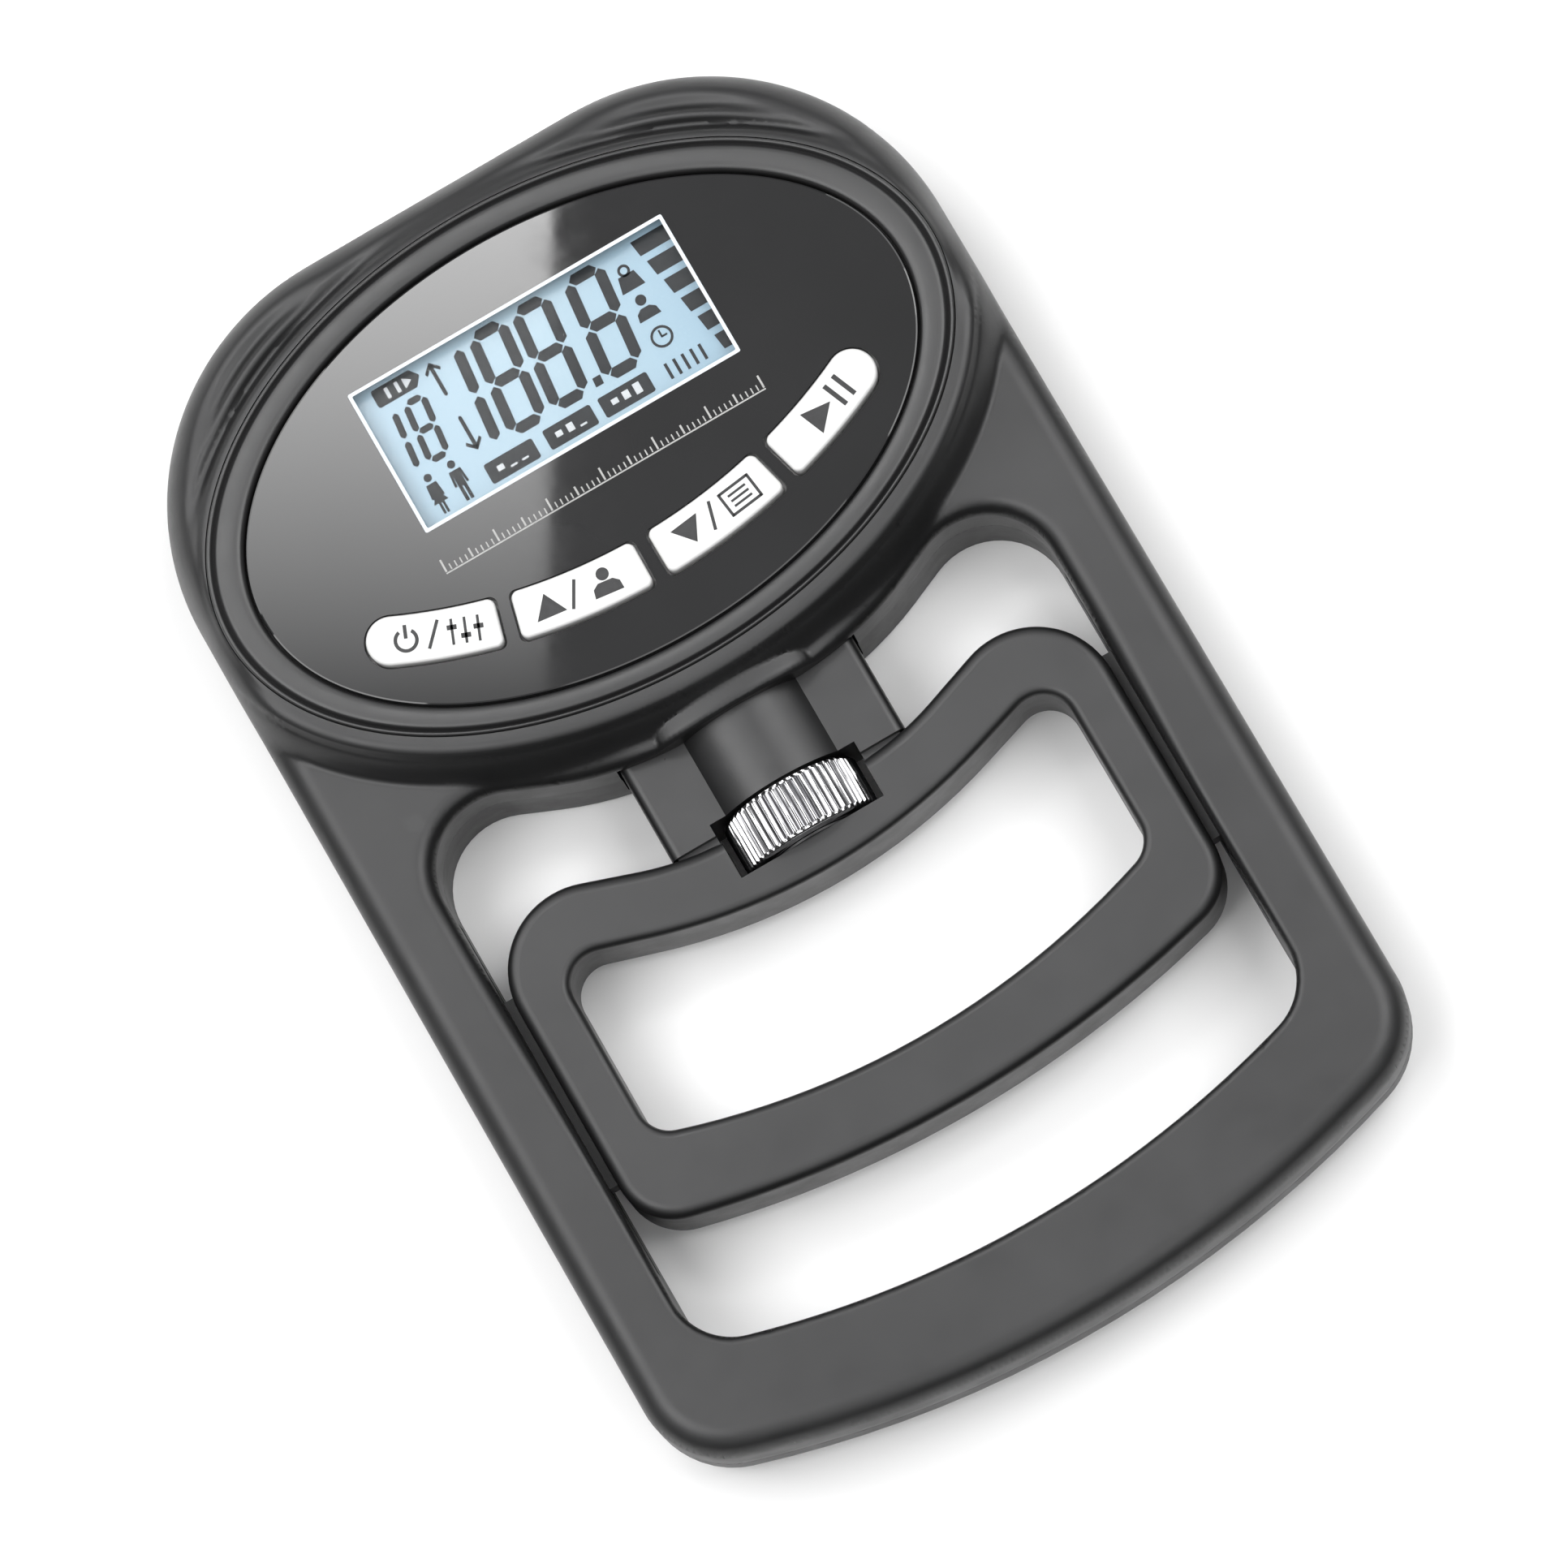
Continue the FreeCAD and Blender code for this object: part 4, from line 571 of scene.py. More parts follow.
def split_run(loop):
    # extra points where the stem's gap and the guide grooves of the grip begin and end
    out = []
    n = len(loop)
    for k in range(n):
        a, b = loop[k], loop[(k + 1) % n]
        out.append(a)
        cuts = []
        if min(a[1], b[1]) > 5.0:
            cuts = [(c - a[0]) / (b[0] - a[0]) for c in (-20.46, -20.40, 20.40, 20.46) if (c - a[0]) * (c - b[0]) < 0]
        elif min(abs(a[0]), abs(b[0])) > 52.0:
            cuts = [(c - a[1]) / (b[1] - a[1]) for c in (GROOVE_LOW, GROOVE_TOP) if (c - a[1]) * (c - b[1]) < 0]
        out.extend(a + (b - a) * t for t in sorted(cuts))
    return np.array(out)


def window_wall(verts, faces, rim, sill):
    # walls of the palm window down to the parting line, with the two guide grooves cut into them
    n = len(rim)

    def add(*q):
        verts.append(q)
        return len(verts) - 1

    high, foot, cut = [], {}, {}
    for k, i in enumerate(rim):
        x, y, z = verts[i]
        high.append(add(x, y, max(z - 0.3, sill(x, y, z, k)[2])))
        if abs(x) > 52.0 and GROOVE_LOW - 0.001 <= y <= GROOVE_TOP + 0.001:
            side = math.copysign(55.2, x)
            cut[k] = (add(x, y, 13.6), add(side, y, 13.6), add(side, y, 11.32))
    for k, i in enumerate(rim):
        if not (k in cut and (k - 1) % n in cut and (k + 1) % n in cut):
            x, y, z = verts[i]
            foot[k] = add(*sill(x, y, z, k))
    for k in range(n):
        j = (k + 1) % n
        faces.append((rim[k], rim[j], high[j], high[k]))
        if k in cut and j in cut:
            faces.append((high[k], high[j], cut[j][0], cut[k][0]))
            faces.append((cut[k][0], cut[j][0], cut[j][1], cut[k][1]))
            faces.append((cut[k][1], cut[j][1], cut[j][2], cut[k][2]))
        else:
            loop = [high[k], high[j]]
            if j in cut:
                loop.append(cut[j][0])
                faces.append((cut[j][0], cut[j][1], cut[j][2], foot[j]))
            loop += [foot[j], foot[k]]
            if k in cut:
                loop.append(cut[k][0])
                faces.append((cut[k][1], cut[k][0], foot[k], cut[k][2]))
            faces.append(tuple(loop))


def case_front():
    outer = run_points(CASE, 1.1)
    win = split_run(run_points(WINDOW, 0.8))
    seat = ellipse_points(SEAT_C, SEAT_X, SEAT_Y, 360)
    extra = []
    r = 4.4
    for k in range(1, 13):
        off = r * (1 - math.cos(math.pi / 2 * k / 12))
        loop_ = run_points(grow(CASE, -off), 1.1)
        extra.append(loop_[loop_[:, 1] < (99 if k < 7 else 40)])
    loop_ = run_points(grow(CASE, -5.2), 1.2)
    extra.append(loop_[loop_[:, 1] < 40])
    for off in (0.06, 0.2, 0.42, 0.72, 1.05, 1.42, 1.85, 2.3, 2.85, 3.5):
        extra.append(run_points(grow(WINDOW, off), 0.9))
    for off in np.arange(0.3, 7.6, 0.36):
        ring_ = ellipse_points(SEAT_C, SEAT_X + off, SEAT_Y + off, 400)
        extra.append(ring_[ring_[:, 1] < 40.0])
    foot_of = ellipse_points(SEAT_C, SEAT_X, SEAT_Y, 760)
    foot_of = foot_of[foot_of[:, 1] >= 40.0]
    near = ((foot_of[:, None, :] - CASE_DENSE[None]) ** 2).sum(-1).argmin(1)
    edge_pt = CASE_DENSE[near]
    gap = np.sqrt(((edge_pt - foot_of) ** 2).sum(1))
    for tt in np.linspace(0.02, 0.985, 36):
        row = foot_of + (edge_pt - foot_of) * tt
        sel = np.ones(len(row), bool)
        sel[1::2] = gap[1::2] > 9.0
        extra.append(row[sel])
    gx_, gy_ = np.meshgrid(np.arange(-64, 64, 2.4), np.arange(-100, 20, 2.4))
    extra.append(np.stack([gx_.ravel(), gy_.ravel()], 1))
    gx_, gy_ = np.meshgrid(np.concatenate([np.arange(-12.6, 12.61, 0.42), [-12.75, 12.75, -13.1, 13.1]]), np.arange(6.5, 17, 0.5))
    extra.append(np.stack([gx_.ravel(), gy_.ravel()], 1))
    gx_, gy_ = np.meshgrid(np.arange(-64, 64, 1.3), np.arange(14, 46, 1.3))
    g2 = np.stack([gx_.ravel(), gy_.ravel()], 1)
    extra.append(g2[(dist_poly(ELL, g2) > 7.4) & (g2[:, 1] < 40.0)])
    extra = np.concatenate(extra)
    verts, faces, rims = sheet(outer, [win, seat], extra, case_height)
    skirt(verts, faces, rims[0], [lambda x, y, z, k: (x, y, 13.2), lambda x, y, z, k: (x, y, 11.55),
                                  lambda x, y, z, k: (x * 0.9965, y * 0.9975, 11.32)])

    def sill(x, y, z, k):
        if y > 6.0 and abs(x) < 20.45:
            arch = 7.9 + math.sqrt(max(13.95 ** 2 - x * x, 0.0))
            return (x, y, max(17.85, arch if abs(x) < 9.9 else 0.0))
        return (x, y, 11.32)
    window_wall(verts, faces, rims[1], sill)
    skirt(verts, faces, rims[2], [lambda x, y, z, k: (x, y, z - 0.4), lambda x, y, z, k: (x, y, 24.0)])
    ob = build("case_front_shell", verts, faces, M["case"], "root", 50.0)
    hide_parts("front_case")
    return ob


case_front()


# --------------------------------------------------------------- bezel and lens
def ring(name, rows, n, mat, body):
    # closed band swept round an ellipse: rows are (centre y, semi x, semi y, z)
    verts, faces = [], []
    t = np.linspace(0, 2 * math.pi, n, endpoint=False)
    for cy, ax, ay, z in rows:
        for a in t:
            verts.append((ax * math.cos(a), cy + ay * math.sin(a), z))
    for k in range(len(rows) - 1):
        for i in range(n):
            j = (i + 1) % n
            faces.append((k * n + i, k * n + j, (k + 1) * n + j, (k + 1) * n + i))
    return build(name, verts, faces, mat, body, 60.0)


def bezel():
    o, i = (53.1, 60.7, 39.1), (52.6, 54.95, 34.55)
    prof = [(-0.0, 25.2), (0.0, 26.75), (0.012, 27.0), (0.04, 27.25), (0.08, 27.34), (0.12, 27.25), (0.15, 27.0),
            (0.17, 26.72), (0.19, 26.62), (0.21, 26.72), (0.235, 27.0), (0.27, 27.28), (0.32, 27.42), (0.40, 27.48),
            (0.55, 27.5), (0.72, 27.48), (0.84, 27.42), (0.91, 27.3), (0.96, 27.08), (0.985, 26.8), (1.0, 26.4), (1.0, 25.0)]
    rows = [(o[0] + (i[0] - o[0]) * u, o[1] + (i[1] - o[1]) * u, o[2] + (i[2] - o[2]) * u, z) for u, z in prof]
    ob = ring("bezel_ring", rows, 420, M["bezel"], "root")
    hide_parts("display_bezel")
    # painted shade: a near-black ring laid in the gap between bezel and window, where the recess lies in shadow
    rows = [(52.6, 55.2, 34.8, 25.1), (52.6, 54.0, 33.6, 25.1)]
    g = ring("bezel_gap_painted_shade", rows, 360, M["gap"], "root")
    return ob


bezel()

KEYS = {"power": (15.1, 28.0, -1, True), "up": (0.69, 13.75, -1, False), "down": (0.69, 13.75, 1, False), "start": (15.1, 28.0, 1, True)}


def key_run(start, end, side, inset, rnd, rc=1.2):
    ky, ra, rb = 123.2, 88.0 + inset, 96.0 - inset

    def corner(rho, edge, inward, r):
        t = math.radians(edge) + math.asin((r + inset) / rho) * inward
        return (rho * math.sin(t), ky - rho * math.cos(t), r, 1)
    run = [(0, ky, rb, 1)]
    if rnd:
        run.append(corner((ra + rb) / 2, end, -1, (rb - ra) / 2 - 1e-4))
    else:
        run += [corner(rb - rc, end, -1, rc), corner(ra + rc, end, -1, rc)]
    run.append((0, ky, ra, -1))
    run += [corner(ra + rc, start, 1, rc), corner(rb - rc, start, 1, rc)]
    if side < 0:
        run = [(-x, y, r, s) for x, y, r, s in reversed(run)]
    return run


LCD = (-26.85, 52.15, 26.85, 76.25)


def rect_points(x0, y0, x1, y1, r, step=0.8):
    return run_points([(x1 - r, y0 + r, r, 1), (x1 - r, y1 - r, r, 1), (x0 + r, y1 - r, r, 1), (x0 + r, y0 + r, r, 1)], step)


def lens():
    top, cy = 26.9, 52.6
    bev = 0.3
    outer = ellipse_points(cy, 54.6 - bev, 34.2 - bev, 360)
    holes = [rect_points(LCD[0] - 0.25, LCD[1] - 0.25, LCD[2] + 0.25, LCD[3] + 0.25, 0.3)]
    holes += [run_points(key_run(a, b, s, -0.15, rnd), 0.8) for a, b, s, rnd in KEYS.values()]
    gx_, gy_ = np.meshgrid(np.arange(-55, 55, 3.0), np.arange(18, 88, 3.0))
    extra = np.stack([gx_.ravel(), gy_.ravel()], 1)
    verts, faces, rims = sheet(outer, holes, extra, lambda p: np.full(len(p), top))

    def rim(x, y, z, k):
        a = math.atan2((y - cy) / 34.2, x / 54.6)
        return (54.6 * math.cos(a), cy + 34.2 * math.sin(a), top - bev)
    last = skirt(verts, faces, rims[0], [lambda x, y, z, k: (x + (rim(x, y, z, k)[0] - x) * 0.7, y + (rim(x, y, z, k)[1] - y) * 0.7, top - 0.08),
                                         rim, lambda x, y, z, k: (rim(x, y, z, k)[0], rim(x, y, z, k)[1], 24.6)])
    skirt(verts, faces, rims[1], [lambda x, y, z, k: (x, y, top - 0.12)])
    for h in rims[2:]:
        skirt(verts, faces, h, [lambda x, y, z, k: (x, y, top - 0.05), lambda x, y, z, k: (x, y, 24.6)])
    ob = build("lens_panel", verts, faces, M["lens"], "root", 12.0)
    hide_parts("display_lens")


lens()


class Shapes:
    """Many small flat prisms gathered into one mesh."""

    def __init__(self):
        self.v, self.f = [], []

    def poly(self, pts, z0, z1):
        area = sum(pts[i][0] * pts[(i + 1) % len(pts)][1] - pts[(i + 1) % len(pts)][0] * pts[i][1] for i in range(len(pts)))
        if area < 0:
            pts = list(reversed(pts))
        s, n = len(self.v), len(pts)
        self.v += [(p[0], p[1], z0) for p in pts] + [(p[0], p[1], z1) for p in pts]
        self.f.append(tuple(s + n + i for i in range(n)))
        self.f.append(tuple(s + i for i in reversed(range(n))))
        for i in range(n):
            j = (i + 1) % n
            self.f.append((s + i, s + j, s + n + j, s + n + i))

    def add(self, verts, faces):
        s = len(self.v)
        self.v += list(verts)
        self.f += [tuple(s + i for i in f) for f in faces]

    def text(self, word, size, cx, cy, z0, z1, rot=0.0, shear=0.0, squeeze=1.0):
        cu = bpy.data.curves.new("t", "FONT")
        cu.body, cu.size = word, size
        cu.align_x, cu.align_y = "CENTER", "CENTER"
        cu.extrude = (z1 - z0) / 2
        cu.offset = 0.02
        cu.resolution_u = 6
        cu.shear = shear
        ob = bpy.data.objects.new("t", cu)
        bpy.context.collection.objects.link(ob)
        bpy.context.view_layer.update()
        me = bpy.data.meshes.new_from_object(ob.evaluated_get(bpy.context.evaluated_depsgraph_get()))
        c, s = math.cos(rot), math.sin(rot)
        vs = []
        for v in me.vertices:
            x, y = v.co.x * squeeze, v.co.y
            vs.append((cx + c * x - s * y, cy + s * x + c * y, (z0 + z1) / 2 + v.co.z))
        self.add(vs, [tuple(p.vertices) for p in me.polygons])
        bpy.data.objects.remove(ob)
        bpy.data.meshes.remove(me)
        bpy.data.curves.remove(cu)

    def make(self, name, mat, body):
        me = bpy.data.meshes.new(name)
        me.from_pydata([tuple(float(c) * MM for c in v) for v in self.v], [], self.f)
        me.update()
        me.materials.append(mat)
        ob = bpy.data.objects.new(name, me)
        bpy.context.collection.objects.link(ob)
        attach(ob, body)
        return ob


# ---------------------------------------------------------------- LCD and marks
def px(x, y):
    return ((x - 966.0) / 8.2, (901.8 - y) / 7.99)


def lcd():
    z = 24.2
    p = Shapes()
    p.poly([tuple(q) for q in rect_points(LCD[0] - 0.2, LCD[1] - 0.2, LCD[2] + 0.2, LCD[3] + 0.2, 0.25)], 26.45, 26.86)
    ob = p.make("lens_window", M["pane"], "root")
    b = Shapes()
    o = rect_points(LCD[0] - 0.23, LCD[1] - 0.23, LCD[2] + 0.23, LCD[3] + 0.23, 0.3)
    i = rect_points(LCD[0] + 0.32, LCD[1] + 0.32, LCD[2] - 0.32, LCD[3] - 0.32, 0.2)
    v, f, rims = sheet(o, [i], np.zeros((0, 2)), lambda q: np.full(len(q), 26.895))
    skirt(v, f, rims[0], [lambda x, y, zz, k: (x, y, 26.7)])
    skirt(v, f, rims[1], [lambda x, y, zz, k: (x, y, 26.7)])
    b.add(v, f)
    b.make("lens_window_border", M["border"], "root")
    g = Shapes()
    z0, z1 = z - 0.02, z + 0.05
    slant = 0.105

    def seg(a, c, wide):
        # elongated hexagon from a to c in window pixels
        ax, ay = a
        cx_, cy_ = c
        length = math.hypot(cx_ - ax, cy_ - ay)
        ux, uy = (cx_ - ax) / length, (cy_ - ay) / length
        nx, ny = -uy * wide / 2, ux * wide / 2
        t = wide * 0.42
        pts = [(ax, ay), (ax + ux * t + nx, ay + uy * t + ny), (cx_ - ux * t + nx, cy_ - uy * t + ny), (cx_, cy_),
               (cx_ - ux * t - nx, cy_ - uy * t - ny), (ax + ux * t - nx, ay + uy * t - ny)]
        g.poly([px(*p) for p in pts], z0, z1)

    def digit(x0, x1, y0, y1, wide, which="abcdefg"):
        ym = (y0 + y1) / 2
        k = 2.0

        def sh(x, y):
            return (x + (ym - y) * slant, y)
        lines = {"a": ((x0 + k, y0), (x1 - k, y0)), "g": ((x0 + k, ym), (x1 - k, ym)), "d": ((x0 + k, y1), (x1 - k, y1)),
                 "f": ((x0, y0 + k), (x0, ym - k)), "e": ((x0, ym + k), (x0, y1 - k)),
                 "b": ((x1, y0 + k), (x1, ym - k)), "c": ((x1, ym + k), (x1, y1 - k))}
        for w in which:
            p, q = lines[w]
            seg(sh(*p), sh(*q), wide)
    digit(848, 882, 302, 427, 14.0, "bc")
    digit(905, 945, 302, 427, 14.0)
    digit(966, 1006, 302, 427, 14.0)
    digit(1040, 1082, 302, 427, 14.5)
    g.poly([px(x, y) for x, y in ((1014, 419), (1025, 419), (1024, 431), (1013, 431))], z0, z1)
    digit(756, 779, 331, 407, 8.5, "bc")
    digit(796, 820, 331, 407, 8.5)
    # arrows
    for x, ya, yb, up in ((850, 300, 350, 1), (850, 373, 424, -1)):
        seg((x, ya + 3), (x, yb - 3), 5.0)
        tip = ya if up > 0 else yb
        sgn = 1 if up > 0 else -1
        for w in (-1, 1):
            g.poly([px(x, tip), px(x + w * 11, tip + sgn * 11), px(x + w * 9, tip + sgn * 15), px(x, tip + sgn * 6)], z0, z1)
    # force bars that widen upward
    for k in range(6):
        yt = 297 + k * 30.2
        wide = 46 - k * 6.4
        sk = 3.0
        g.poly([px(1184 - wide, yt), px(1184, yt), px(1184, yt + 21), px(1184 - wide + sk, yt + 21)], z0, z1)
    # range tags: dark pills with a pale level mark
    tags = [(845, 913, 1), (928, 995, 2), (1006, 1075, 3)]
    light = Shapes()
    for a, c, n in tags:
        g.poly([px(x, y) for x, y in ((a + 2, 444), (c - 2, 444), (c, 446), (c, 469), (c - 2, 471), (a + 2, 471), (a, 469), (a, 446))], z0, z1)
        for i in range(3):
            xx = (a + c) / 2 - 16 + i * 16
            if i < n:
                h = 5 + 3.5 * i
                light.poly([px(xx - 4.5, 457 - h / 2 - 1), px(xx + 4.5, 457 - h / 2 - 1), px(xx + 4.5, 457 + h / 2 + 1), px(xx - 4.5, 457 + h / 2 + 1)], z1 - 0.02, z1 + 0.05)
            else:
                light.poly([px(xx - 4.5, 461), px(xx + 4.5, 461), px(xx + 4.5, 463.5), px(xx - 4.5, 463.5)], z1 - 0.02, z1 + 0.05)
    g.poly([px(x, y) for x, y in ((772, 295), (824, 295), (833, 307), (824, 319), (772, 319), (770, 316), (770, 298))], z0, z1)
    for x in (786, 800):
        light.poly([px(x, 300), px(x + 5, 300), px(x + 5, 314), px(x, 314)], z1 - 0.02, z1 + 0.05)
    light.poly([px(811, 300), px(822, 307), px(811, 314)], z1 - 0.02, z1 + 0.05)
    # two small figures
    for cx_, skirted in ((779, True), (812, False)):
        g.poly([px(cx_ + 5.2 * math.cos(t), 423 + 5.2 * math.sin(t)) for t in np.linspace(0, 2 * math.pi, 14, endpoint=False)], z0, z1)
        if skirted:
            body = [(-7, 431), (7, 431), (9, 450), (6, 450), (10, 457), (4, 457), (4, 472), (0.8, 472), (0.8, 458), (-0.8, 458), (-0.8, 472), (-4, 472), (-4, 457), (-10, 457), (-6, 450), (-9, 450)]
        else:
            body = [(-8, 431), (8, 431), (10, 451), (6.5, 451), (5.5, 437), (5.5, 472), (0.9, 472), (0.9, 453), (-0.9, 453), (-0.9, 472), (-5.5, 472), (-5.5, 437), (-6.5, 451), (-10, 451)]
        g.poly([px(cx_ + x, y) for x, y in body], z0, z1)
    wx_, wy_ = 1114, 334
    g.poly([px(x, y) for x, y in ((wx_ - 11, wy_ - 6), (wx_ + 11, wy_ - 6), (wx_ + 16, wy_ + 15), (wx_ - 16, wy_ + 15))], z0, z1)
    for a in np.linspace(0, 2 * math.pi, 20, endpoint=False):
        b2 = a + math.pi / 10
        g.poly([px(wx_ + 8 * math.cos(a), wy_ - 11 + 8 * math.sin(a)), px(wx_ + 8 * math.cos(b2), wy_ - 11 + 8 * math.sin(b2)),
                px(wx_ + 4.6 * math.cos(b2), wy_ - 11 + 4.6 * math.sin(b2)), px(wx_ + 4.6 * math.cos(a), wy_ - 11 + 4.6 * math.sin(a))], z0, z1)
    bx_, by_ = 1114, 374
    g.poly([px(bx_ + 7 * math.cos(a), by_ - 9 + 7 * math.sin(a)) for a in np.linspace(0, 2 * math.pi, 18, endpoint=False)], z0, z1)
    g.poly([px(x, y) for x, y in ((bx_ - 15, by_ + 16), (bx_ + 15, by_ + 16), (bx_ + 13, by_ + 6), (bx_ + 6, by_ + 1), (bx_ - 6, by_ + 1), (bx_ - 13, by_ + 6))], z0, z1)
    # clock face and tally marks
    c = px(1114, 417)
    for a in np.linspace(0, 2 * math.pi, 24, endpoint=False):
        b2 = a + 2 * math.pi / 24
        g.poly([(c[0] + 1.75 * math.cos(a), c[1] + 1.75 * math.sin(a)), (c[0] + 1.75 * math.cos(b2), c[1] + 1.75 * math.sin(b2)),
                (c[0] + 1.35 * math.cos(b2), c[1] + 1.35 * math.sin(b2)), (c[0] + 1.35 * math.cos(a), c[1] + 1.35 * math.sin(a))], z0, z1)
    g.poly([(c[0] - 0.15, c[1] - 0.1), (c[0] + 0.15, c[1] - 0.1), (c[0] + 0.15, c[1] + 1.1), (c[0] - 0.15, c[1] + 1.1)], z0, z1)
    g.poly([(c[0] - 0.1, c[1] - 0.15), (c[0] + 0.9, c[1] - 0.15), (c[0] + 0.9, c[1] + 0.15), (c[0] - 0.1, c[1] + 0.15)], z0, z1)
    for i in range(5):
        x = 1098 + i * 12
        g.poly([px(x, 448), px(x + 4, 448), px(x + 4, 469), px(x, 469)], z0, z1)
    g.make("lcd_segments", M["segment"], "root")
    light.make("lcd_tag_marks", M["border"], "root")


lcd()


def legends():
    # generic control marks on the keys and a plain tick scale on the window
    zk0, zk1 = 27.985, 28.03
    for name, (a, b, side, rnd) in KEYS.items():
        t = math.radians((a + b) / 2) * side
        cx_, cy_ = 92.0 * math.sin(t), 123.2 - 92.0 * math.cos(t)
        c, s = math.cos(t), math.sin(t)
        g = Shapes()

        def at(x, y):
            return (cx_ + c * x - s * y, cy_ + s * x + c * y)

        def loop(x, y, r0, r1, t0=0.0, t1=2 * math.pi, n=30):
            for k in range(n):
                p, q = t0 + (t1 - t0) * k / n, t0 + (t1 - t0) * (k + 1) / n
                g.poly([at(x + r1 * math.cos(p), y + r1 * math.sin(p)), at(x + r1 * math.cos(q), y + r1 * math.sin(q)),
                        at(x + r0 * math.cos(q), y + r0 * math.sin(q)), at(x + r0 * math.cos(p), y + r0 * math.sin(p))], zk0, zk1)

        def bar(x0, y0, x1, y1, w):
            length = math.hypot(x1 - x0, y1 - y0)
            nx, ny = -(y1 - y0) / length * w / 2, (x1 - x0) / length * w / 2
            g.poly([at(x0 + nx, y0 + ny), at(x1 + nx, y1 + ny), at(x1 - nx, y1 - ny), at(x0 - nx, y0 - ny)], zk0, zk1)
        if name == "power":
            loop(-4.0, -0.15, 1.35, 1.9, math.radians(125), math.radians(415))
            bar(-4.0, 0.1, -4.0, 2.2, 0.55)
            bar(-0.7, -2.0, 1.0, 2.2, 0.5)
            for xx, yk in ((3.0, 0.7), (5.0, -0.8), (7.0, 0.3)):
                bar(xx, -2.0, xx, 2.0, 0.42)
                bar(xx - 0.75, yk, xx + 0.75, yk, 0.75)
        elif name == "start":
            g.poly([at(-3.4, -2.3), at(1.0, 0.0), at(-3.4, 2.3)], zk0, zk1)
            bar(2.2, -2.2, 2.2, 2.2, 0.75)
            bar(4.2, -2.2, 4.2, 2.2, 0.75)
        elif name == "up":
            g.poly([at(-7.6, -1.7), at(-2.8, -1.7), at(-5.2, 2.0)], zk0, zk1)
            bar(-1.9, -2.0, -0.2, 2.2, 0.5)
            loop(4.0, 1.25, 0.0, 1.0)
            g.poly([at(1.7, -2.0), at(6.3, -2.0), at(6.1, -0.6), at(5.2, 0.1), at(2.8, 0.1), at(1.9, -0.6)], zk0, zk1)
        else:
            g.poly([at(-7.0, 1.9), at(-2.2, 1.9), at(-4.6, -1.8)], zk0, zk1)
            bar(-1.4, -2.0, 0.3, 2.2, 0.5)
            for yy in (1.9, -1.9):
                bar(2.0, yy, 7.2, yy, 0.45)
            for xx in (2.0, 7.2):
                bar(xx, -2.1, xx, 2.1, 0.45)
            for yy in (0.9, 0.0, -0.9):
                bar(3.0, yy, 6.2, yy, 0.38)
        ob = g.make("legend_" + name, M["legend"], "key_" + name)
    m = Shapes()
    z0, z1 = 26.885, 26.93
    # plain tick scale under the display, every fifth tick longer
    for k in range(61):
        x = -27.3 + 54.6 * k / 60
        h = 2.1 if k % 10 == 0 else (1.5 if k % 5 == 0 else 0.95)
        w = 0.15 if k % 5 == 0 else 0.10
        m.poly([(x - w, 45.2), (x + w, 45.2), (x + w, 45.2 + h), (x - w, 45.2 + h)], z0, z1)
    m.poly([(-27.45, 44.85), (27.45, 44.85), (27.45, 45.08), (-27.45, 45.08)], z0, z1)
    m.make("lens_scale_marks", M["print"], "root")


legends()


# ------------------------------------------------------------------------ knob
def knob():
    # knurled thumb wheel turned about an axis along Y: crowned rims, straight fine knurl
    y0, y1, r0 = -15.4, -6.6, 11.18
    prof = [(y0, 4.2, 0), (y0, 10.0, 0), (y0 + 0.10, 10.55, 0), (y0 + 0.30, 10.80, 0.0), (y0 + 0.55, 10.95, 0.35), (y0 + 0.8, r0, 1.0),
            (y1 - 0.8, r0, 1.0), (y1 - 0.55, 10.95, 0.35), (y1 - 0.30, 10.80, 0), (y1 - 0.10, 10.55, 0), (y1, 10.0, 0), (y1, 4.2, 0)]
    n_ridge, per = 56, 12
    n = n_ridge * per
    verts, faces = [], []
    for y, r, k in prof:
        for i in range(n):
            a = 2 * math.pi * i / n
            u = (i % per) / per
            dip = 0.50 * k * (abs(math.cos(math.pi * u)) ** 1.8)
            rr = r - dip
            verts.append((rr * math.sin(a), y, 11.3 + rr * math.cos(a)))
    for p in range(len(prof) - 1):
        for i in range(n):
            j = (i + 1) % n
            faces.append((p * n + i, p * n + j, (p + 1) * n + j, (p + 1) * n + i))
    ob = build("knurled_knob", verts, faces, M["chrome"], "knob", 32.0)
    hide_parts("adjust_knob")


knob()

# ---------------------------------------------------------- screw head cross drives, black crosses painted as the shade in their recesses
def drives(name, node, spots, body, long):
    z = max(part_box(node)[0][2] / MM, 0.03)
    # painted shade: each drive is a thin near-black cross on the head face, not a cut recess
    g = Shapes()
    for k, (x, y) in enumerate(spots):
        a = 0.5 + 1.1 * k
        for b2 in (a, a + math.pi / 2):
            c, s = math.cos(b2), math.sin(b2)
            for w, h in ((0.34, long), (0.52, long * 0.45)):
                g.poly([(x + c * u - s * v, y + s * u + c * v) for u, v in ((-h, -w), (h, -w), (h, w), (-h, w))],
                       z - 0.025 - 0.004 * (b2 != a) - (0.002 if w > 0.4 else 0), z + 0.2)
    ob = g.make(name, M["gap"], body)


drives("case_screw_drives", "case_screws", ((50.8, -79), (-50.8, -79), (50.5, 26), (-50.5, 26), (34.5, 84.5), (-34.5, 84.5)), "root", 1.75)
drives("grip_screw_drives", "grip_screws", ((46.7, -20), (-46.7, -20), (36, -50.9), (-36, -50.9), (0, -55.6)), "grip", 1.2)


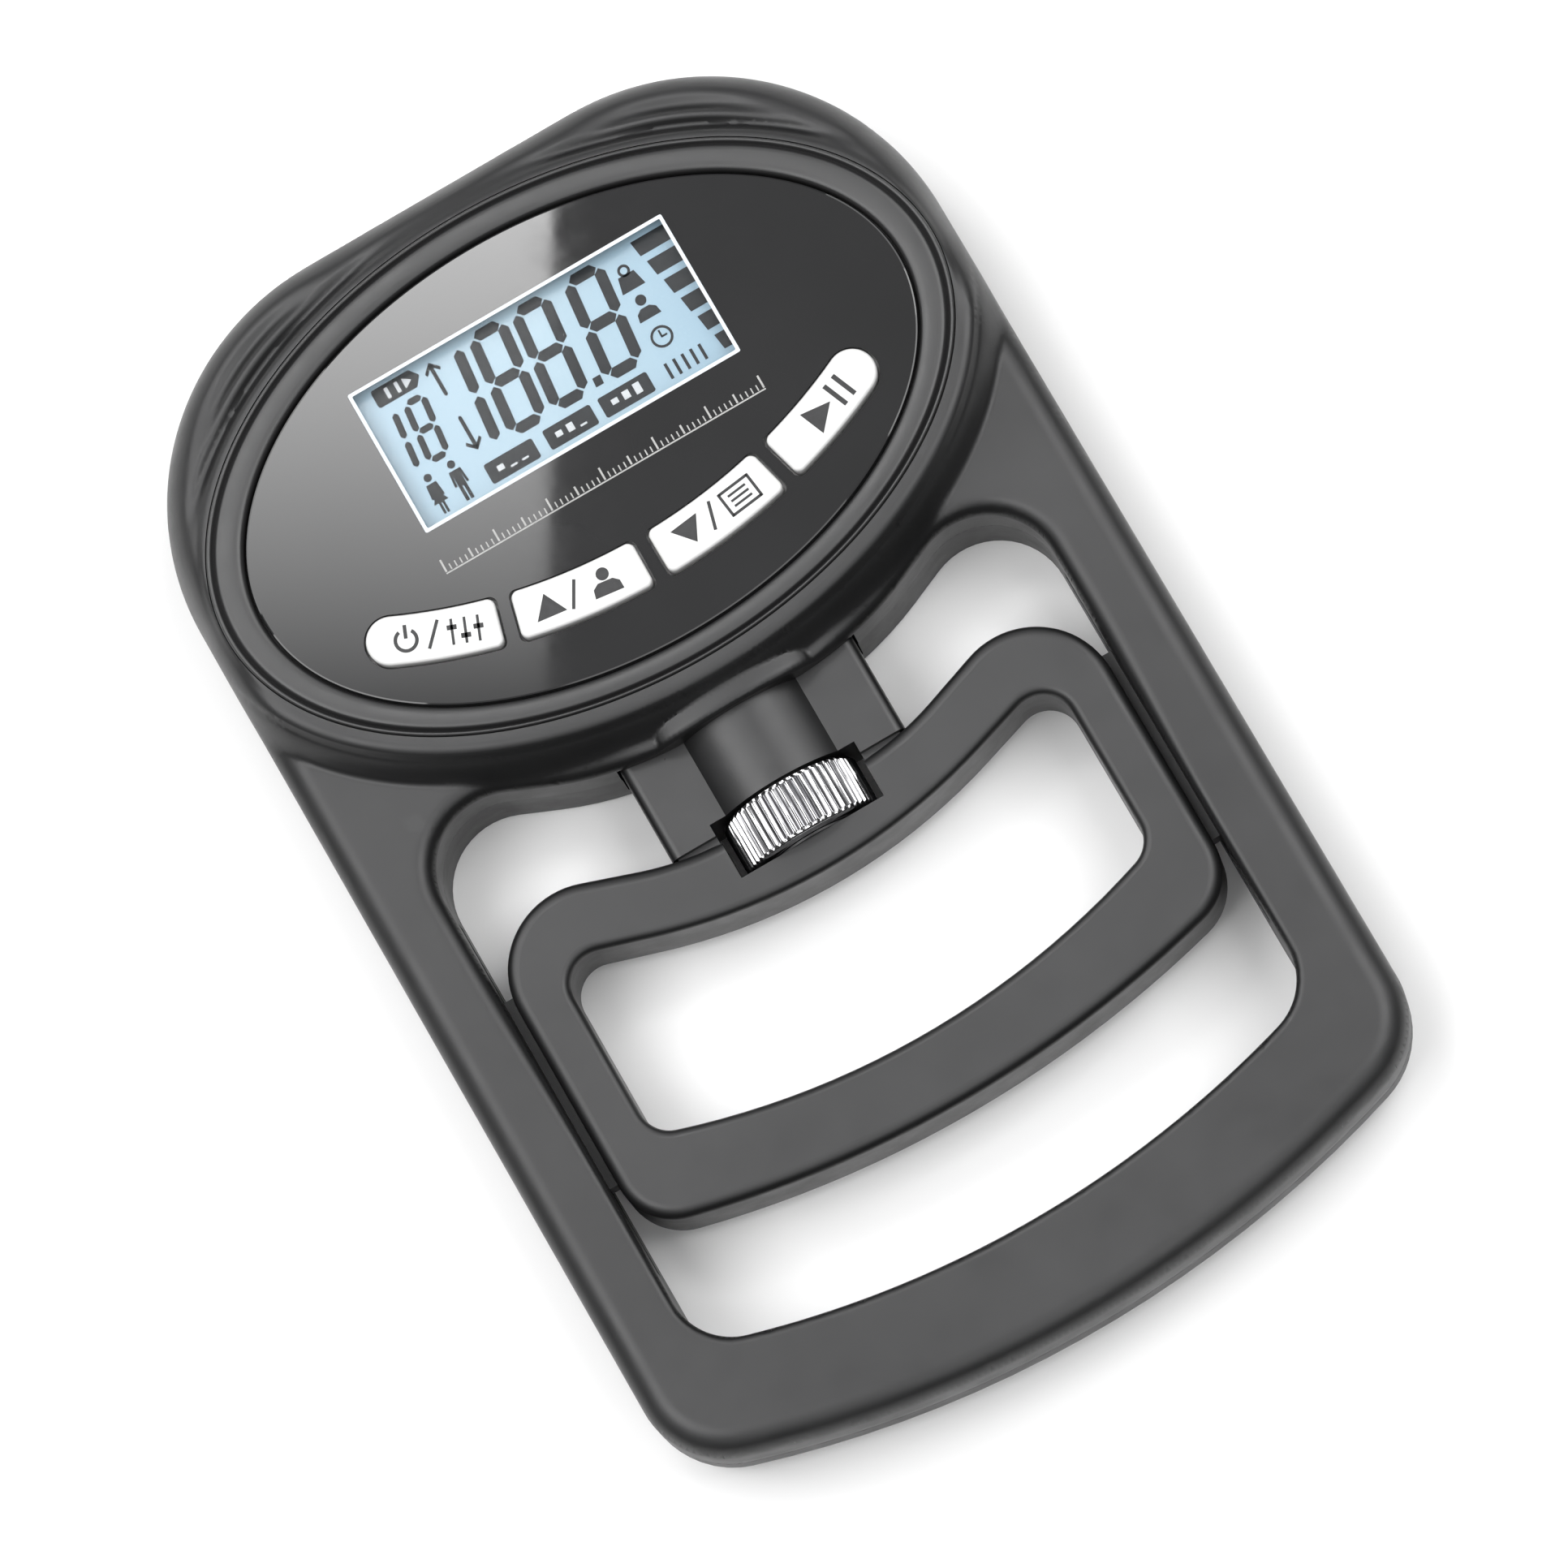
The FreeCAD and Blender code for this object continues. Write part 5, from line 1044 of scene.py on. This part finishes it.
# ------------------------------------------------------- floor, light and camera
def stage():
    me = bpy.data.meshes.new("floor")
    s = 3.0
    me.from_pydata([(-s, -s, 0), (s, -s, 0), (s, s, 0), (-s, s, 0)], [], [(0, 1, 2, 3)])
    fl = bpy.data.objects.new("floor", me)
    bpy.context.collection.objects.link(fl)
    fl.location.z = -0.0002
    m, nt, b = new_mat("floor_paper")
    v = coords(nt)
    col = ramp(nt, noise(nt, v, 3.0, 3.0), [(0.3, (0.88, 0.88, 0.88)), (0.7, (0.92, 0.92, 0.92))])
    nt.links.new(col, b.inputs["Base Color"])
    b.inputs["Roughness"].default_value = 0.9
    b.inputs["Specular IOR Level"].default_value = 0.1
    me.materials.append(m)
    w = bpy.data.worlds.new("studio")
    bpy.context.scene.world = w
    w.use_nodes = True
    wt = w.node_tree
    bg = wt.nodes["Background"]
    tc = wt.nodes.new("ShaderNodeTexCoord")
    sep = wt.nodes.new("ShaderNodeSeparateXYZ")
    wt.links.new(tc.outputs["Generated"], sep.inputs[0])
    sky = ramp(wt, sep.outputs["Z"], [(0.0, (0.25, 0.25, 0.25)), (0.08, (0.06, 0.06, 0.06)), (0.50, (0.10, 0.10, 0.10)), (0.93, (0.46, 0.46, 0.46))])
    wt.links.new(sky, bg.inputs["Color"])
    bg.inputs["Strength"].default_value = 1.0

    def area(name, loc, target, size, power, size_y=None, turn=0.0):
        li = bpy.data.lights.new(name, "AREA")
        li.energy = power
        li.size = size
        if size_y:
            li.shape = "RECTANGLE"
            li.size_y = size_y
        ob = bpy.data.objects.new(name, li)
        bpy.context.collection.objects.link(ob)
        ob.location = loc
        d = Vector(target) - Vector(loc)
        ob.rotation_euler = (d.to_track_quat("-Z", "Y").to_matrix() @ Matrix.Rotation(turn, 3, "Z")).to_euler()
        return ob
    area("key_soft", (-1.05, 1.35, 1.5), (0, 0, 0), 1.6, 25.0)
    area("fill_soft", (1.45, 0.75, 1.4), (0, 0, 0), 1.4, 13.0)
    area("front_soft", (0.1, -1.5, 1.7), (0, 0, 0), 1.3, 9.0)
    area("top_left", (-1.0, -0.1, 1.8), (0, 0, 0), 1.2, 20.0)
    area("top_right", (1.0, -0.1, 1.8), (0, 0, 0), 1.2, 18.0)
    # card above the head whose straight edge falls across the polished window,
    # brightest at its far end
    card = area("window_card", (-0.0008 - 0.868 * 0.11, 0.275 + 0.497 * 0.11, 0.80), (-0.0008 - 0.868 * 0.11, 0.275 + 0.497 * 0.11, 0.0), 0.22, 0.9, 0.24)
    card.rotation_euler = (0.0, 0.0, math.radians(-29.8))
    li = card.data
    li.use_nodes = True
    lt = li.node_tree
    em = [n for n in lt.nodes if n.type == "EMISSION"][0]
    ge = lt.nodes.new("ShaderNodeNewGeometry")
    sp = lt.nodes.new("ShaderNodeSeparateXYZ")
    lt.links.new(ge.outputs["Parametric"], sp.inputs[0])
    lt.links.new(maprange(lt, sp.outputs["Y"], 0.2, 0.85, 0.12, 2.6), em.inputs["Strength"])


stage()


def camera():
    el = math.radians(77.0)
    back = Vector((0, -math.cos(el), math.sin(el)))
    right = Vector((1, 0, 0))
    up = back.cross(right)
    phi = math.radians(30.15)
    r2 = right * math.cos(phi) - up * math.sin(phi)
    u2 = right * math.sin(phi) + up * math.cos(phi)
    dist = 1.6
    target = right * (0.24 * MM) - up * (2.38 * MM)
    cam = bpy.data.cameras.new("camera")
    cam.sensor_width = 36.0
    cam.lens = 36.0 * dist / 0.2356
    cam.clip_start, cam.clip_end = 0.05, 20.0
    ob = bpy.data.objects.new("camera", cam)
    bpy.context.collection.objects.link(ob)
    m = Matrix((r2, u2, back)).transposed().to_4x4()
    m.translation = target + back * dist
    ob.matrix_world = m
    bpy.context.scene.camera = ob


camera()
